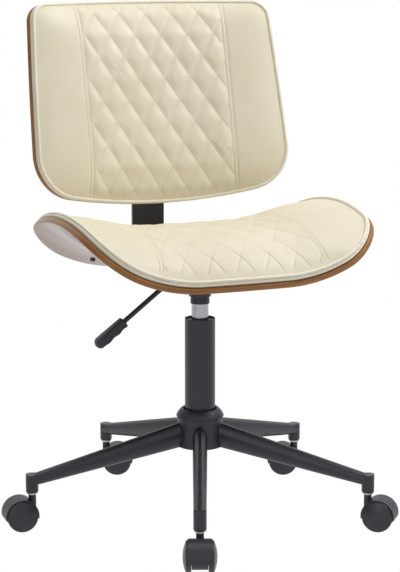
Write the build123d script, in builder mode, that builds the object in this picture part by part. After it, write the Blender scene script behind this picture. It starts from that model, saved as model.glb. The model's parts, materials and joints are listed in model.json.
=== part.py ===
"""Armless swivel desk chair: bentwood shells with quilted pads on a gas-lift five-leg base."""

import os
from math import asin, copysign, cos, degrees, radians, sin, sqrt

from build123d import *

os.makedirs("parts", exist_ok=True)

# Sizes are in millimetres. Z is up, the sitter faces -Y and the sitter's right hand is towards -X.
# The origin lies on the floor under the swivel axis.

# Clearances
running_gap = 0.05
moving_gap = 0.4
contact_gap = 0.1
bearing_gap = 0.1

# Five-leg base
leg_count = 5
base_turn = -22.5
caster_circle_radius = 286.0
hub_diameter = 64.0
hub_bottom = 115.0
hub_height = 50.0
hub_edge_chamfer = 1.5
leg_root_height = 44.0
leg_root_width = 25.0
leg_root_drop = 4.0
leg_tip_height = 20.0
leg_tip_width = 20.0
leg_wall = 1.8
boss_diameter = 20.5
boss_bottom = 60.0
boss_height = 30.0
boss_edge_fillet = 2.0
sleeve_wall = 1.4

# Dust cover on the hub
cover_diameter = 79.0
cover_top_diameter = 62.0
cover_height = 16.0
cover_wall = 2.0
cover_column_gap = 3.0

# Outer column
column_diameter = 50.0
column_wall = 1.6
column_top = 330.0
column_taper = 1.3
foot_plate_thickness = 4.0
bush_length = 80.0
bush_recess = 3.0

# Thrust bearing and bumper at the column's foot
race_outer_diameter = 28.0
race_thickness = 2.0
ball_diameter = 4.0
ball_circle_radius = 9.5
ball_count = 10
bumper_diameter = 26.0
bumper_height = 9.0
clip_thickness = 1.5
clip_width = 4.0
clip_slot_width = 7.0

# Gas spring
rod_diameter = 10.0
rod_collar_diameter = 18.0
rod_collar_thickness = 2.0
rod_tail = 5.0
cylinder_diameter = 28.0
cylinder_wall = 2.2
cylinder_taper = 1.0
lift_down = 20.0
lift_up = 80.0
gland_length = 14.0
piston_length = 12.0
piston_seal_width = 3.0
piston_seal_depth = 1.0
valve_block_length = 18.0
valve_pin_diameter = 6.0
valve_pin_length = 20.0
valve_pin_reach = 5.0

# Seat plate, socket and lever
plate_width = 160.0
plate_length = 140.0
plate_front = -64.0
plate_thickness = 3.0
plate_corner_radius = 12.0
pan_width = 72.0
pan_length = 90.0
pan_depth = 33.0
socket_bottom = 355.0
socket_diameter = 31.5
socket_collar_bottom = 367.0
socket_collar_diameter = 36.5
socket_ridge_depth = 0.8
socket_ridge_height = 1.6
socket_ridge_pitch = 3.6
socket_ridge_count = 3
socket_cylinder_overlap = 52.0
lever_diameter = 8.0
lever_slope = 37.2
lever_pivot_offset = 24.0
lever_inner_reach = 6.0
lever_length = 178.0
lever_bend_radius = 14.0
lever_eye_diameter = 12.0
lever_eye_width = 9.0
lever_pin_diameter = 4.0
lever_press_gap = 0.6
ear_thickness = 3.0
ear_width = 10.0
lever_slot_width = 11.0
lever_slot_height = 18.0
handle_start = 135.0
handle_length = 62.0
handle_top = 7.0
handle_end_width = 24.0
handle_neck_width = 16.0
handle_thickness = 15.0
handle_notch_radius = 9.0
handle_notch_depth = 2.2
handle_notch_count = 3
handle_edge_fillet = 3.0

# Seat shell
seat_half_width = 246.5
seat_front = -194.0
seat_rear = 178.0
seat_side_bulge = 9.0
seat_end_bulge = 8.0
seat_corner_radius = 74.0
seat_crest_y = -30.0
seat_crest_height = 442.5
seat_arch_radius = 545.0
seat_flat_half_width = 70.0
wing_radius = 262.0
seat_shell_thickness = 10.0

# Seat cushion
seat_pad_inset = 3.0
seat_pad_edge = 12.0
seat_pad_crown = 42.0
seat_panel_half_width = 140.0

# Back shell, set out in its own reclined plane
back_recline = 13.6
back_centre_y = 219.0
back_centre_z = 672.0
back_radius = 617.0
back_top_half_width = 215.5
back_bottom_half_width = 230.0
back_half_height = 157.0
back_top_crown = 10.5
back_bottom_crown = 23.0
back_side_bulge = 2.0
back_corner_radius = 50.0
back_shell_thickness = 9.0

# Back cushion
back_pad_inset = 2.0
back_pad_edge = 9.0
back_pad_crown = 27.0
back_panel_half_width = 132.0

# Cushion forms and seams
swell_power = 6
seam_width = 2.0
seam_depth = 1.6
surface_margin = 12.0
surface_tolerance = 0.05
seat_grid = 18
back_grid = 16

# Back bracket
bracket_width = 58.0
bracket_thickness = 6.0
bracket_rear_y = 241.0
bracket_front_y = 92.0
bracket_bend_radius = 36.0
bracket_riser_top = 505.0
bracket_low_v = -80.0
bracket_high_v = 62.0
bracket_bolt_spacing = 34.0
bracket_seat_bolt_rows = (108.0, 148.0)
bracket_back_bolt_rows = (-40.0, 40.0)

# Fasteners
bolt_diameter = 6.0
bolt_head_diameter = 12.0
bolt_head_height = 4.0
bolt_hex_size = 4.0
bolt_hex_depth = 2.2
bolt_length = 13.0
plate_bolt_edge = 15.0
tee_nut_barrel_diameter = 8.0
tee_nut_barrel_length = 6.0
tee_nut_flange_diameter = 18.0
tee_nut_flange_thickness = 1.4
tee_nut_sink = 1.4
screw_head_diameter = 9.0
screw_head_height = 3.0
screw_diameter = 4.0
screw_slot_width = 1.2
screw_bite = 16.0
seat_screw_x = 135.0
seat_screw_front = -120.0
seat_screw_rear = 140.0
back_screw_x = 160.0
back_screw_y = 110.0

# Casters
wheel_diameter = 50.0
wheel_width = 13.5
wheel_dome = 5.5
wheel_edge_fillet = 1.5
wheel_gap = 26.0
caster_trail = 20.0
caster_turns = (0.0, 0.0, 126.0, -126.0, 0.0)
axle_diameter = 6.0
axle_engagement = 8.5
hood_wall = 2.0
hood_width = 37.0
hood_cover_angle = 200.0
hood_web_gap = 0.5
hood_web_radius = 20.0
neck_diameter = 12.5
stem_diameter = 11.0
stem_length = 22.0
stem_bite = 14.0
ring_diameter = 17.0
ring_thickness = 2.2

# Places worked out from the sizes
hub_radius = hub_diameter / 2
hub_top = hub_bottom + hub_height
column_radius = column_diameter / 2
column_inner_radius = column_radius - column_wall
column_foot_radius = column_radius - column_taper
boss_radius = boss_diameter / 2
boss_top = boss_bottom + boss_height
leg_root_z = hub_top - leg_root_drop - leg_root_height / 2
leg_tip_z = boss_top - leg_tip_height / 2
leg_angles = [base_turn - 90 + index * 360 / leg_count for index in range(leg_count)]

stem_radius = stem_diameter / 2
sleeve_bore_radius = stem_radius + running_gap
sleeve_radius = sleeve_bore_radius + sleeve_wall
stem_top = boss_bottom + stem_length
socket_end = stem_top + moving_gap
ring_top = boss_bottom - moving_gap
ring_bottom = ring_top - ring_thickness
wheel_radius = wheel_diameter / 2
hood_inner_radius = wheel_radius + moving_gap
hood_radius = hood_inner_radius + hood_wall
axle_radius = axle_diameter / 2
axle_half_length = wheel_gap / 2 + axle_engagement

rod_radius = rod_diameter / 2
foot_plate_top = hub_bottom + foot_plate_thickness
ball_z = foot_plate_top + race_thickness + ball_diameter / 2
upper_race_bottom = ball_z + ball_diameter / 2 + bearing_gap
rod_collar_bottom = upper_race_bottom + race_thickness
rod_collar_top = rod_collar_bottom + rod_collar_thickness
bumper_top = rod_collar_top + bumper_height
clip_top = hub_bottom - bearing_gap
clip_groove_radius = rod_radius - clip_width / 4
rod_bottom = clip_top - clip_thickness - rod_tail

cylinder_radius = cylinder_diameter / 2
cylinder_inner_radius = cylinder_radius - cylinder_wall
cylinder_bottom = bumper_top + lift_down + moving_gap
cylinder_top = socket_bottom + socket_cylinder_overlap
cylinder_top_radius = cylinder_radius - cylinder_taper
gland_top = cylinder_bottom + gland_length
piston_bottom = gland_top + lift_up + moving_gap
piston_top = piston_bottom + piston_length
piston_radius = cylinder_inner_radius - running_gap
valve_block_bottom = cylinder_top - valve_block_length
valve_pin_radius = valve_pin_diameter / 2
valve_pin_top = cylinder_top + valve_pin_reach


def profile(*corners, plane=Plane.XZ):
    """Straight-sided closed profile through the given corners, drawn on a plane."""
    with BuildSketch(plane) as drawn:
        with BuildLine():
            Polyline(*corners, close=True)
        make_face()
    return drawn.sketch


# Leg: a tapered oval tube along +X that carries the caster boss at its tip
def leg_plane(distance, height):
    """Upright plane across the leg at a distance from the swivel axis."""
    return Plane(origin=(distance, 0, height), x_dir=(0, 1, 0), z_dir=(1, 0, 0))


with BuildPart() as leg:
    with BuildSketch(leg_plane(hub_radius / 2, leg_root_z)):
        Ellipse(leg_root_width / 2, leg_root_height / 2)
    with BuildSketch(leg_plane(caster_circle_radius, leg_tip_z)):
        Ellipse(leg_tip_width / 2, leg_tip_height / 2)
    loft()
    with BuildSketch(leg_plane(hub_radius / 2, leg_root_z)):
        Ellipse(leg_root_width / 2 - leg_wall, leg_root_height / 2 - leg_wall)
    with BuildSketch(leg_plane(caster_circle_radius, leg_tip_z)):
        Ellipse(leg_tip_width / 2 - leg_wall, leg_tip_height / 2 - leg_wall)
    loft(mode=Mode.SUBTRACT)
    with BuildSketch(Plane.XY.offset(boss_bottom)):
        with Locations((caster_circle_radius, 0)):
            Circle(boss_radius)
    extrude(amount=boss_height)
    fillet(leg.edges().group_by(Axis.Z)[0], boss_edge_fillet)
    with BuildSketch(Plane.XY.offset(boss_bottom)):
        with Locations((caster_circle_radius, 0)):
            Circle(sleeve_radius)
    extrude(amount=socket_end - boss_bottom, mode=Mode.SUBTRACT)
    with BuildSketch(Plane.XY.offset(hub_bottom)):
        Circle(hub_radius)
    extrude(amount=hub_height, mode=Mode.SUBTRACT)

# Hub with the tapered bore that the column wedges into
with BuildPart() as base_hub:
    revolve(
        profile(
            (column_foot_radius + running_gap, hub_bottom),
            (hub_radius, hub_bottom),
            (hub_radius, hub_top),
            (column_radius + running_gap, hub_top),
        ),
        axis=Axis.Z,
    )
    chamfer(base_hub.edges().group_by(SortBy.LENGTH)[-1], hub_edge_chamfer)

# Dust cover: a cone that sits on the hub and leaves a shadow gap round the column
with BuildPart() as hub_cover:
    revolve(
        profile(
            (column_radius + cover_column_gap, hub_top),
            (cover_diameter / 2, hub_top),
            (cover_top_diameter / 2, hub_top + cover_height),
            (cover_top_diameter / 2 - cover_wall, hub_top + cover_height),
            (cover_diameter / 2 - 2 * cover_wall, hub_top + cover_wall),
            (column_radius + cover_column_gap, hub_top + cover_wall),
        ),
        axis=Axis.Z,
    )

# Outer column: tapered foot, closed by a plate that carries the thrust bearing
with BuildPart() as column:
    revolve(
        profile(
            (rod_radius + running_gap, hub_bottom),
            (column_foot_radius, hub_bottom),
            (column_radius, hub_top),
            (column_radius, column_top),
            (column_inner_radius, column_top),
            (column_inner_radius, hub_top),
            (column_foot_radius - column_wall, foot_plate_top),
            (rod_radius + running_gap, foot_plate_top),
        ),
        axis=Axis.Z,
    )

# Guide bush that the gas cylinder slides and turns in
with BuildPart() as column_bush:
    revolve(
        profile(
            (cylinder_radius + running_gap, column_top - bush_recess - bush_length),
            (column_inner_radius, column_top - bush_recess - bush_length),
            (column_inner_radius, column_top - bush_recess),
            (cylinder_radius + running_gap, column_top - bush_recess),
        ),
        axis=Axis.Z,
    )


# Thrust bearing: two flat races and a ring of balls
def build_race(bottom):
    """Flat washer for the balls, centred on the rod."""
    with BuildPart() as race:
        with BuildSketch(Plane.XY.offset(bottom)):
            Circle(race_outer_diameter / 2)
            Circle(rod_radius + running_gap, mode=Mode.SUBTRACT)
        extrude(amount=race_thickness)
    return race.part


with BuildPart() as thrust_balls:
    with BuildSketch(Plane.XZ):
        with Locations((ball_circle_radius, ball_z)):
            Circle(ball_diameter / 2)
            Rectangle(ball_diameter, ball_diameter, align=(Align.MAX, Align.CENTER), mode=Mode.SUBTRACT)
    revolve(axis=Axis((ball_circle_radius, 0, ball_z), (0, 0, 1)))
with BuildPart() as ball_ring:
    with PolarLocations(0, ball_count):
        add(thrust_balls.part)

# Piston rod with its collar and the groove for the retaining clip
with BuildPart() as piston_rod:
    revolve(
        profile(
            (0, rod_bottom),
            (rod_radius, rod_bottom),
            (rod_radius, clip_top - clip_thickness),
            (clip_groove_radius, clip_top - clip_thickness),
            (clip_groove_radius, clip_top),
            (rod_radius, clip_top),
            (rod_radius, rod_collar_bottom),
            (rod_collar_diameter / 2, rod_collar_bottom),
            (rod_collar_diameter / 2, rod_collar_top),
            (rod_radius, rod_collar_top),
            (rod_radius, piston_top),
            (0, piston_top),
        ),
        axis=Axis.Z,
    )

with BuildPart() as retaining_clip:
    with BuildSketch(Plane.XY.offset(clip_top - clip_thickness)):
        Circle(clip_groove_radius + clip_width)
        Circle(clip_groove_radius, mode=Mode.SUBTRACT)
        Rectangle(clip_groove_radius + 2 * clip_width, clip_slot_width, align=(Align.MIN, Align.CENTER),
                  mode=Mode.SUBTRACT)
    extrude(amount=clip_thickness)

with BuildPart() as bumper:
    with BuildSketch(Plane.XY.offset(rod_collar_top)):
        Circle(bumper_diameter / 2)
        Circle(rod_radius, mode=Mode.SUBTRACT)
    extrude(amount=bumper_height)
    chamfer(bumper.edges().group_by(Axis.Z)[-1].sort_by(SortBy.RADIUS)[-1], bumper_height / 4)

with BuildPart() as piston_head:
    revolve(
        profile(
            (rod_radius, piston_bottom),
            (piston_radius, piston_bottom),
            (piston_radius, piston_bottom + (piston_length - piston_seal_width) / 2),
            (piston_radius - piston_seal_depth, piston_bottom + (piston_length - piston_seal_width) / 2),
            (piston_radius - piston_seal_depth, piston_bottom + (piston_length + piston_seal_width) / 2),
            (piston_radius, piston_bottom + (piston_length + piston_seal_width) / 2),
            (piston_radius, piston_top),
            (rod_radius, piston_top),
        ),
        axis=Axis.Z,
    )

with BuildPart() as piston_seal:
    with BuildSketch(Plane.XY.offset(piston_bottom + (piston_length - piston_seal_width) / 2)):
        Circle(piston_radius)
        Circle(piston_radius - piston_seal_depth, mode=Mode.SUBTRACT)
    extrude(amount=piston_seal_width)

# Gas cylinder: straight tube with a tapered head and a bored valve block
with BuildPart() as gas_cylinder:
    revolve(
        profile(
            (cylinder_inner_radius, cylinder_bottom),
            (cylinder_radius, cylinder_bottom),
            (cylinder_radius, socket_bottom),
            (cylinder_top_radius, cylinder_top),
            (valve_pin_radius + running_gap, cylinder_top),
            (valve_pin_radius + running_gap, valve_block_bottom),
            (cylinder_inner_radius, valve_block_bottom),
        ),
        axis=Axis.Z,
    )

with BuildPart() as rod_gland:
    with BuildSketch(Plane.XY.offset(cylinder_bottom)):
        Circle(cylinder_inner_radius)
        Circle(rod_radius + running_gap, mode=Mode.SUBTRACT)
    extrude(amount=gland_length)

with BuildPart() as valve_pin:
    with BuildSketch(Plane.XY.offset(valve_pin_top - valve_pin_length)):
        Circle(valve_pin_radius)
    extrude(amount=valve_pin_length)
    fillet(valve_pin.edges().group_by(Axis.Z)[-1], valve_pin_radius / 2)


# Casters are drawn about their own stem: the stem stands on Z and the wheels trail towards +X
axle_point = (caster_trail, wheel_radius)
axle_axis = Axis((caster_trail, 0, wheel_radius), (0, 1, 0))

with BuildPart() as caster_stem:
    revolve(
        profile(
            (0, ring_bottom - stem_bite),
            (stem_radius, ring_bottom - stem_bite),
            (stem_radius, ring_bottom),
            (ring_diameter / 2, ring_bottom),
            (ring_diameter / 2, ring_top),
            (stem_radius, ring_top),
            (stem_radius, stem_top),
            (0, stem_top),
        ),
        axis=Axis.Z,
    )
    fillet(caster_stem.edges().group_by(Axis.Z)[-1], stem_radius / 4)

with BuildPart() as caster_hood:
    with BuildSketch(Plane.XZ):
        with BuildLine():
            brow = CenterArc(axle_point, hood_radius, 90 - hood_cover_angle / 2, hood_cover_angle)
            Polyline(brow @ 1, axle_point, brow @ 0)
        make_face()
        with Locations(axle_point):
            Circle(hood_web_radius)
    extrude(amount=wheel_gap / 2 - hood_web_gap, both=True)
    with BuildSketch(Plane.XZ):
        with BuildLine():
            outer = CenterArc(axle_point, hood_radius, 90 - hood_cover_angle / 2, hood_cover_angle)
            inner = CenterArc(axle_point, hood_inner_radius, 90 - hood_cover_angle / 2, hood_cover_angle)
            Line(outer @ 0, inner @ 0)
            Line(outer @ 1, inner @ 1)
        make_face()
    extrude(amount=hood_width / 2, both=True)
    with BuildSketch(Plane.XY.offset(wheel_radius)):
        Circle(neck_diameter / 2)
    extrude(amount=ring_bottom - wheel_radius)
    with BuildSketch(Plane.XY.offset(ring_bottom - stem_bite)):
        Circle(stem_radius)
    extrude(amount=stem_bite, mode=Mode.SUBTRACT)
    with BuildSketch(Plane.XZ):
        with Locations(axle_point):
            Circle(axle_radius)
    extrude(amount=wheel_gap, both=True, mode=Mode.SUBTRACT)

with BuildPart() as caster_axle:
    with BuildSketch(Plane.XZ):
        with Locations(axle_point):
            Circle(axle_radius)
    extrude(amount=axle_half_length, both=True)
    chamfer(caster_axle.edges().filter_by(GeomType.CIRCLE), axle_radius / 5)


def build_wheel(side):
    """Twin-caster wheel with a domed face; side is 1 towards +Y and -1 towards -Y."""
    across = Plane(origin=axle_axis.position, x_dir=(0, side, 0), z_dir=(side, 0, 0))
    bore_radius = axle_radius + running_gap
    bore_end = axle_half_length + moving_gap
    face = wheel_gap / 2
    shoulder = face + wheel_width - wheel_dome
    apex = face + wheel_width
    with BuildPart() as wheel:
        with BuildSketch(across):
            with BuildLine():
                Polyline((apex, 0), (bore_end, 0), (bore_end, bore_radius), (face, bore_radius),
                         (face, wheel_radius), (shoulder, wheel_radius))
                TangentArc((apex, 0), (shoulder, wheel_radius), tangent=(0, 1))
            make_face()
        revolve(axis=axle_axis)
        fillet(wheel.edges().group_by(SortBy.LENGTH)[-1], wheel_edge_fillet)
    return wheel.part


with BuildPart() as socket_sleeve:
    with BuildSketch(Plane.XY.offset(boss_bottom)):
        Circle(sleeve_radius)
        Circle(sleeve_bore_radius, mode=Mode.SUBTRACT)
    extrude(amount=socket_end - boss_bottom)

stem_places = [
    Location((caster_circle_radius * cos(radians(angle)), caster_circle_radius * sin(radians(angle)), 0))
    for angle in leg_angles
]
with BuildPart() as caster_sleeves:
    with Locations(*stem_places):
        add(socket_sleeve.part)


# Seat surface: a saddle, arched from front to rear and turned up at both sides
def arc_rise(distance, radius):
    """How far an arc of the given radius leaves its tangent at a distance along it."""
    return radius - sqrt(radius * radius - distance * distance)


def seat_surface(x, y):
    """Height of the seat shell's upper face."""
    wing = arc_rise(max(abs(x) - seat_flat_half_width, 0), wing_radius)
    return seat_crest_height + wing - arc_rise(y - seat_crest_y, seat_arch_radius)


def seat_steepness(x, y):
    """Ratio of a vertical distance to the distance square to the seat surface."""
    across = max(abs(x) - seat_flat_half_width, 0)
    slope_x = across / sqrt(wing_radius**2 - across**2)
    slope_y = (y - seat_crest_y) / sqrt(seat_arch_radius**2 - (y - seat_crest_y) ** 2)
    return sqrt(1 + slope_x**2 + slope_y**2)


def seat_lower_surface(x, y):
    """Height of the seat shell's lower face."""
    return seat_surface(x, y) - seat_shell_thickness * seat_steepness(x, y)


def seat_underside(y):
    """Height of the seat shell's lower face on the middle line."""
    return seat_lower_surface(0, y)


def swell(position, half_length):
    """Share of a cushion's fill at a position: full in the middle, none at the edge."""
    return 1 - min(abs(position) / half_length, 1) ** swell_power


def grid_face(height, x_range, y_range, x_steps, y_steps):
    """Smooth face through a grid of heights over a rectangle, facing up."""
    x_low, x_high = x_range
    y_low, y_high = y_range
    rows = []
    for column_index in range(x_steps + 1):
        x = x_low + (x_high - x_low) * column_index / x_steps
        row = []
        for row_index in range(y_steps + 1):
            y = y_low + (y_high - y_low) * row_index / y_steps
            row.append((x, y, height(x, y)))
        rows.append(row)
    return Face.make_surface_from_array_of_points(rows, tol=surface_tolerance, min_deg=3)


def rounded_outline(plane, half_widths, ends, end_bulges, side_bulge, corner_radius, inset):
    """Four shallow arcs with rounded corners; ends and bulges are (low, high) along the plane's Y."""
    low_half, high_half = (half_width - inset for half_width in half_widths)
    low, high = ends[0] + inset, ends[1] - inset
    low_bulge, high_bulge = end_bulges
    middle = (low + high) / 2
    side = (low_half + high_half) / 2 + side_bulge
    with BuildSketch(plane) as outline:
        with BuildLine():
            ThreePointArc((-low_half, low), (0, low - low_bulge), (low_half, low))
            ThreePointArc((low_half, low), (side, middle), (high_half, high))
            ThreePointArc((high_half, high), (0, high + high_bulge), (-high_half, high))
            ThreePointArc((-high_half, high), (-side, middle), (-low_half, low))
        make_face()
        fillet(outline.vertices(), corner_radius - inset)
    return outline.sketch


def seam_lines(plane, half_width, low, high):
    """The two sewn seams along the sides of a cushion's middle panel."""
    with BuildSketch(plane) as lines:
        with Locations((0, (low + high) / 2)):
            with GridLocations(2 * half_width, 0, 2, 1):
                Rectangle(seam_width, high - low)
    return lines.sketch


seat_middle_y = (seat_front + seat_rear) / 2
seat_half_length = (seat_rear - seat_front) / 2
seat_x_range = (-seat_half_width - surface_margin, seat_half_width + surface_margin)
seat_y_range = (seat_front - surface_margin, seat_rear + surface_margin)
seat_top_plane = Plane.XY.offset(seat_crest_height + 2 * seat_pad_crown + seat_half_width)
seat_upper_face = grid_face(seat_surface, seat_x_range, seat_y_range, seat_grid, seat_grid)
seat_lower_face = grid_face(seat_lower_surface, seat_x_range, seat_y_range, seat_grid, seat_grid)


def seat_outline(inset):
    """The seat shell's plan outline, drawn in by an inset, above the whole seat."""
    half_widths = (seat_half_width - seat_side_bulge,) * 2
    ends = (seat_front + seat_end_bulge, seat_rear - seat_end_bulge)
    bulges = (seat_end_bulge, seat_end_bulge)
    return rounded_outline(seat_top_plane, half_widths, ends, bulges, seat_side_bulge, seat_corner_radius, inset)


def seat_pad_surface(x, y):
    """Height of the seat cushion's crowned top."""
    fill = swell(x, seat_half_width) * swell(y - seat_middle_y, seat_half_length)
    depth = seat_pad_edge + (seat_pad_crown - seat_pad_edge) * fill
    return seat_surface(x, y) + depth * seat_steepness(x, y)


def seat_seam_floor(x, y):
    """Height of the bottom of the sewn seams."""
    return seat_pad_surface(x, y) - seam_depth


# Seat plate: chord plane that touches the arched shell at the plate's front and rear edges
plate_rear = plate_front + plate_length
plate_slope = (seat_underside(plate_rear) - seat_underside(plate_front)) / plate_length
plate_height = seat_underside(plate_front) - plate_slope * plate_front - contact_gap
plate_plane = Plane(origin=(0, 0, plate_height), x_dir=(1, 0, 0), z_dir=(0, -plate_slope, 1))
plate_middle = (plate_front + plate_rear) / 2
plate_bolt_x = plate_width / 2 - plate_bolt_edge
plate_bolt_y = plate_length / 2 - plate_bolt_edge
pan_bottom = plate_height - pan_depth
socket_radius = socket_diameter / 2
socket_collar_radius = socket_collar_diameter / 2

with BuildPart() as seat_plate:
    with BuildSketch(plate_plane.offset(-plate_thickness)):
        with Locations((0, plate_middle)):
            RectangleRounded(plate_width, plate_length, plate_corner_radius)
    extrude(amount=plate_thickness)
    with BuildSketch(plate_plane.offset(-pan_depth)):
        RectangleRounded(pan_width, pan_length, plate_corner_radius / 2)
    extrude(amount=pan_depth)
    with BuildSketch(plate_plane.offset(plate_thickness - pan_depth)):
        RectangleRounded(pan_width - 2 * plate_thickness, pan_length - 2 * plate_thickness, plate_corner_radius / 4)
    extrude(amount=pan_depth, mode=Mode.SUBTRACT)
    with BuildSketch(Plane.XY.offset(pan_bottom - plate_thickness)):
        Circle(socket_collar_radius)
    extrude(amount=3 * plate_thickness, mode=Mode.SUBTRACT)
    with BuildSketch(Plane.XY.offset(pan_bottom + 2 * plate_thickness)):
        with Locations((-pan_width / 2, 0)):
            Rectangle(4 * plate_thickness, lever_slot_width)
    extrude(amount=lever_slot_height, mode=Mode.SUBTRACT)
    with BuildSketch(plate_plane):
        with Locations((0, plate_middle)):
            with GridLocations(2 * plate_bolt_x, 2 * plate_bolt_y, 2, 2):
                Circle(bolt_diameter / 2)
    extrude(amount=-plate_thickness, mode=Mode.SUBTRACT)

# Socket: tapered bore for the gas cylinder, ridged below its collar
socket_top = pan_bottom + 2 * plate_thickness
socket_top_taper = cylinder_taper * (socket_top - socket_bottom) / socket_cylinder_overlap
with BuildPart() as socket_tube:
    revolve(
        profile(
            (cylinder_radius + running_gap, socket_bottom),
            (socket_radius, socket_bottom),
            (socket_radius, socket_collar_bottom),
            (socket_collar_radius, socket_collar_bottom),
            (socket_collar_radius, socket_top),
            (cylinder_radius - socket_top_taper + running_gap, socket_top),
        ),
        axis=Axis.Z,
    )
    for number in range(socket_ridge_count):
        with BuildSketch(Plane.XY.offset(socket_bottom + (number + 0.5) * socket_ridge_pitch)):
            Circle(socket_radius)
            Circle(socket_radius - socket_ridge_depth, mode=Mode.SUBTRACT)
        extrude(amount=socket_ridge_height, mode=Mode.SUBTRACT)

# Lever: a bent rod that pivots on a pin in the pan and presses the valve pin with its inner end
lever_radius = lever_diameter / 2
lever_height = valve_pin_top + lever_press_gap + lever_radius
lever_pivot = (-lever_pivot_offset, lever_height)
lever_pin_radius = lever_pin_diameter / 2
ear_inner = lever_eye_width / 2 + moving_gap
ear_outer = ear_inner + ear_thickness
ear_foot = pan_bottom + plate_thickness + abs(plate_slope) * ear_outer + 2 * contact_gap
ear_top = lever_height + ear_width / 2


def along_lever(distance):
    """Point on the sloping part of the lever's middle line, as (x, z)."""
    slope = radians(lever_slope)
    return (lever_pivot[0] - distance * cos(slope), lever_pivot[1] - distance * sin(slope))


with BuildPart() as lever_rod:
    with BuildLine(Plane.XZ) as lever_line:
        FilletPolyline((lever_inner_reach, lever_height), lever_pivot, along_lever(lever_length),
                       radius=lever_bend_radius)
    with BuildSketch(Plane(origin=(lever_inner_reach, 0, lever_height), x_dir=(0, 1, 0), z_dir=(-1, 0, 0))):
        Circle(lever_radius)
    sweep(path=lever_line.line)
    with BuildSketch(Plane.XZ):
        with Locations(lever_pivot):
            Circle(lever_eye_diameter / 2)
    extrude(amount=lever_eye_width / 2, both=True)
    with BuildSketch(Plane.XZ):
        with Locations(lever_pivot):
            Circle(lever_pin_radius + running_gap)
    extrude(amount=lever_eye_width, both=True, mode=Mode.SUBTRACT)

with BuildPart() as lever_bracket:
    with BuildSketch(Plane.YZ.offset(-lever_pivot_offset - ear_width / 2)):
        with Locations((0, ear_foot)):
            Rectangle(2 * ear_outer, ear_top - ear_foot, align=(Align.CENTER, Align.MIN))
        with Locations((0, ear_foot + ear_thickness / 2)):
            Rectangle(2 * ear_inner, ear_top - ear_foot, align=(Align.CENTER, Align.MIN), mode=Mode.SUBTRACT)
    extrude(amount=ear_width)
    with BuildSketch(Plane.XZ):
        with Locations(lever_pivot):
            Circle(lever_pin_radius)
    extrude(amount=2 * ear_outer, both=True, mode=Mode.SUBTRACT)

with BuildPart() as lever_pin:
    with BuildSketch(Plane.XZ):
        with Locations(lever_pivot):
            Circle(lever_pin_radius)
    extrude(amount=ear_outer + ear_thickness / 2, both=True)

# Handle: drawn in a plane along the lever, flat on top, with finger notches below
handle_origin = along_lever(handle_start)
handle_plane = Plane(
    origin=(handle_origin[0], 0, handle_origin[1]),
    x_dir=(-cos(radians(lever_slope)), 0, -sin(radians(lever_slope))),
    z_dir=(-sin(radians(lever_slope)), 0, cos(radians(lever_slope))),
)
handle_up = Axis(handle_plane.origin, handle_plane.z_dir)
handle_side = Plane(origin=handle_plane.origin, x_dir=handle_plane.x_dir, z_dir=-handle_plane.y_dir)
with BuildPart() as lever_handle:
    with BuildSketch(handle_plane.offset(handle_top - handle_thickness)) as handle_plan:
        with BuildLine():
            Polyline((0, -handle_neck_width / 2), (handle_length, -handle_end_width / 2),
                     (handle_length, handle_end_width / 2), (0, handle_neck_width / 2), close=True)
        make_face()
        fillet(handle_plan.vertices().group_by(Axis.X)[-1], handle_end_width / 3)
        fillet(handle_plan.vertices().group_by(Axis.X)[0], handle_edge_fillet)
    extrude(amount=handle_thickness)
    fillet(lever_handle.faces().sort_by(handle_up)[0].edges(), handle_edge_fillet)
    fillet(lever_handle.faces().sort_by(handle_up)[-1].edges(), handle_edge_fillet / 2)
    with BuildSketch(handle_side):
        for number in range(handle_notch_count):
            notch_x = handle_length * (number + 0.5) / handle_notch_count
            notch_y = handle_top - handle_thickness + handle_notch_depth - handle_notch_radius
            with Locations((notch_x, notch_y)):
                Circle(handle_notch_radius)
    extrude(amount=handle_end_width, both=True, mode=Mode.SUBTRACT)
    with BuildSketch(Plane(origin=handle_plane.origin, z_dir=handle_plane.x_dir)):
        Circle(lever_radius)
    extrude(amount=lever_length - handle_start, mode=Mode.SUBTRACT)


# Fasteners, drawn with the face they clamp on at the origin and their shank towards +Z
with BuildPart() as bolt:
    with BuildSketch(Plane.XY.offset(-bolt_head_height)):
        Circle(bolt_head_diameter / 2)
    extrude(amount=bolt_head_height)
    fillet(bolt.edges().group_by(Axis.Z)[0], bolt_head_height / 2)
    with BuildSketch(Plane.XY.offset(-bolt_head_height)):
        RegularPolygon(bolt_hex_size / 2, 6, major_radius=False)
    extrude(amount=bolt_hex_depth, mode=Mode.SUBTRACT)
    with BuildSketch():
        Circle(bolt_diameter / 2)
    extrude(amount=bolt_length)

with BuildPart() as screw:
    with BuildSketch(Plane.XY.offset(-screw_head_height)):
        Circle(screw_head_diameter / 2)
    extrude(amount=screw_head_height)
    fillet(screw.edges().group_by(Axis.Z)[0], screw_head_height / 2)
    with BuildSketch(Plane.XY.offset(-screw_head_height)):
        Rectangle(screw_head_diameter / 2, screw_slot_width)
        Rectangle(screw_slot_width, screw_head_diameter / 2)
    extrude(amount=screw_head_height / 2, mode=Mode.SUBTRACT)
    with BuildSketch():
        Circle(screw_diameter / 2)
    extrude(amount=screw_bite)

# Tee nut, drawn with the top of its flange just below the origin
with BuildPart() as tee_nut:
    with BuildSketch(Plane.XY.offset(-tee_nut_sink - tee_nut_flange_thickness)):
        Circle(tee_nut_flange_diameter / 2)
    extrude(amount=tee_nut_flange_thickness)
    with BuildSketch(Plane.XY.offset(-tee_nut_sink - tee_nut_flange_thickness)):
        Circle(tee_nut_barrel_diameter / 2)
    extrude(amount=-tee_nut_barrel_length)
    with BuildSketch(Plane.XY.offset(-tee_nut_sink)):
        Circle(bolt_diameter / 2)
    extrude(amount=-tee_nut_barrel_length - tee_nut_flange_thickness, mode=Mode.SUBTRACT)

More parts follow.
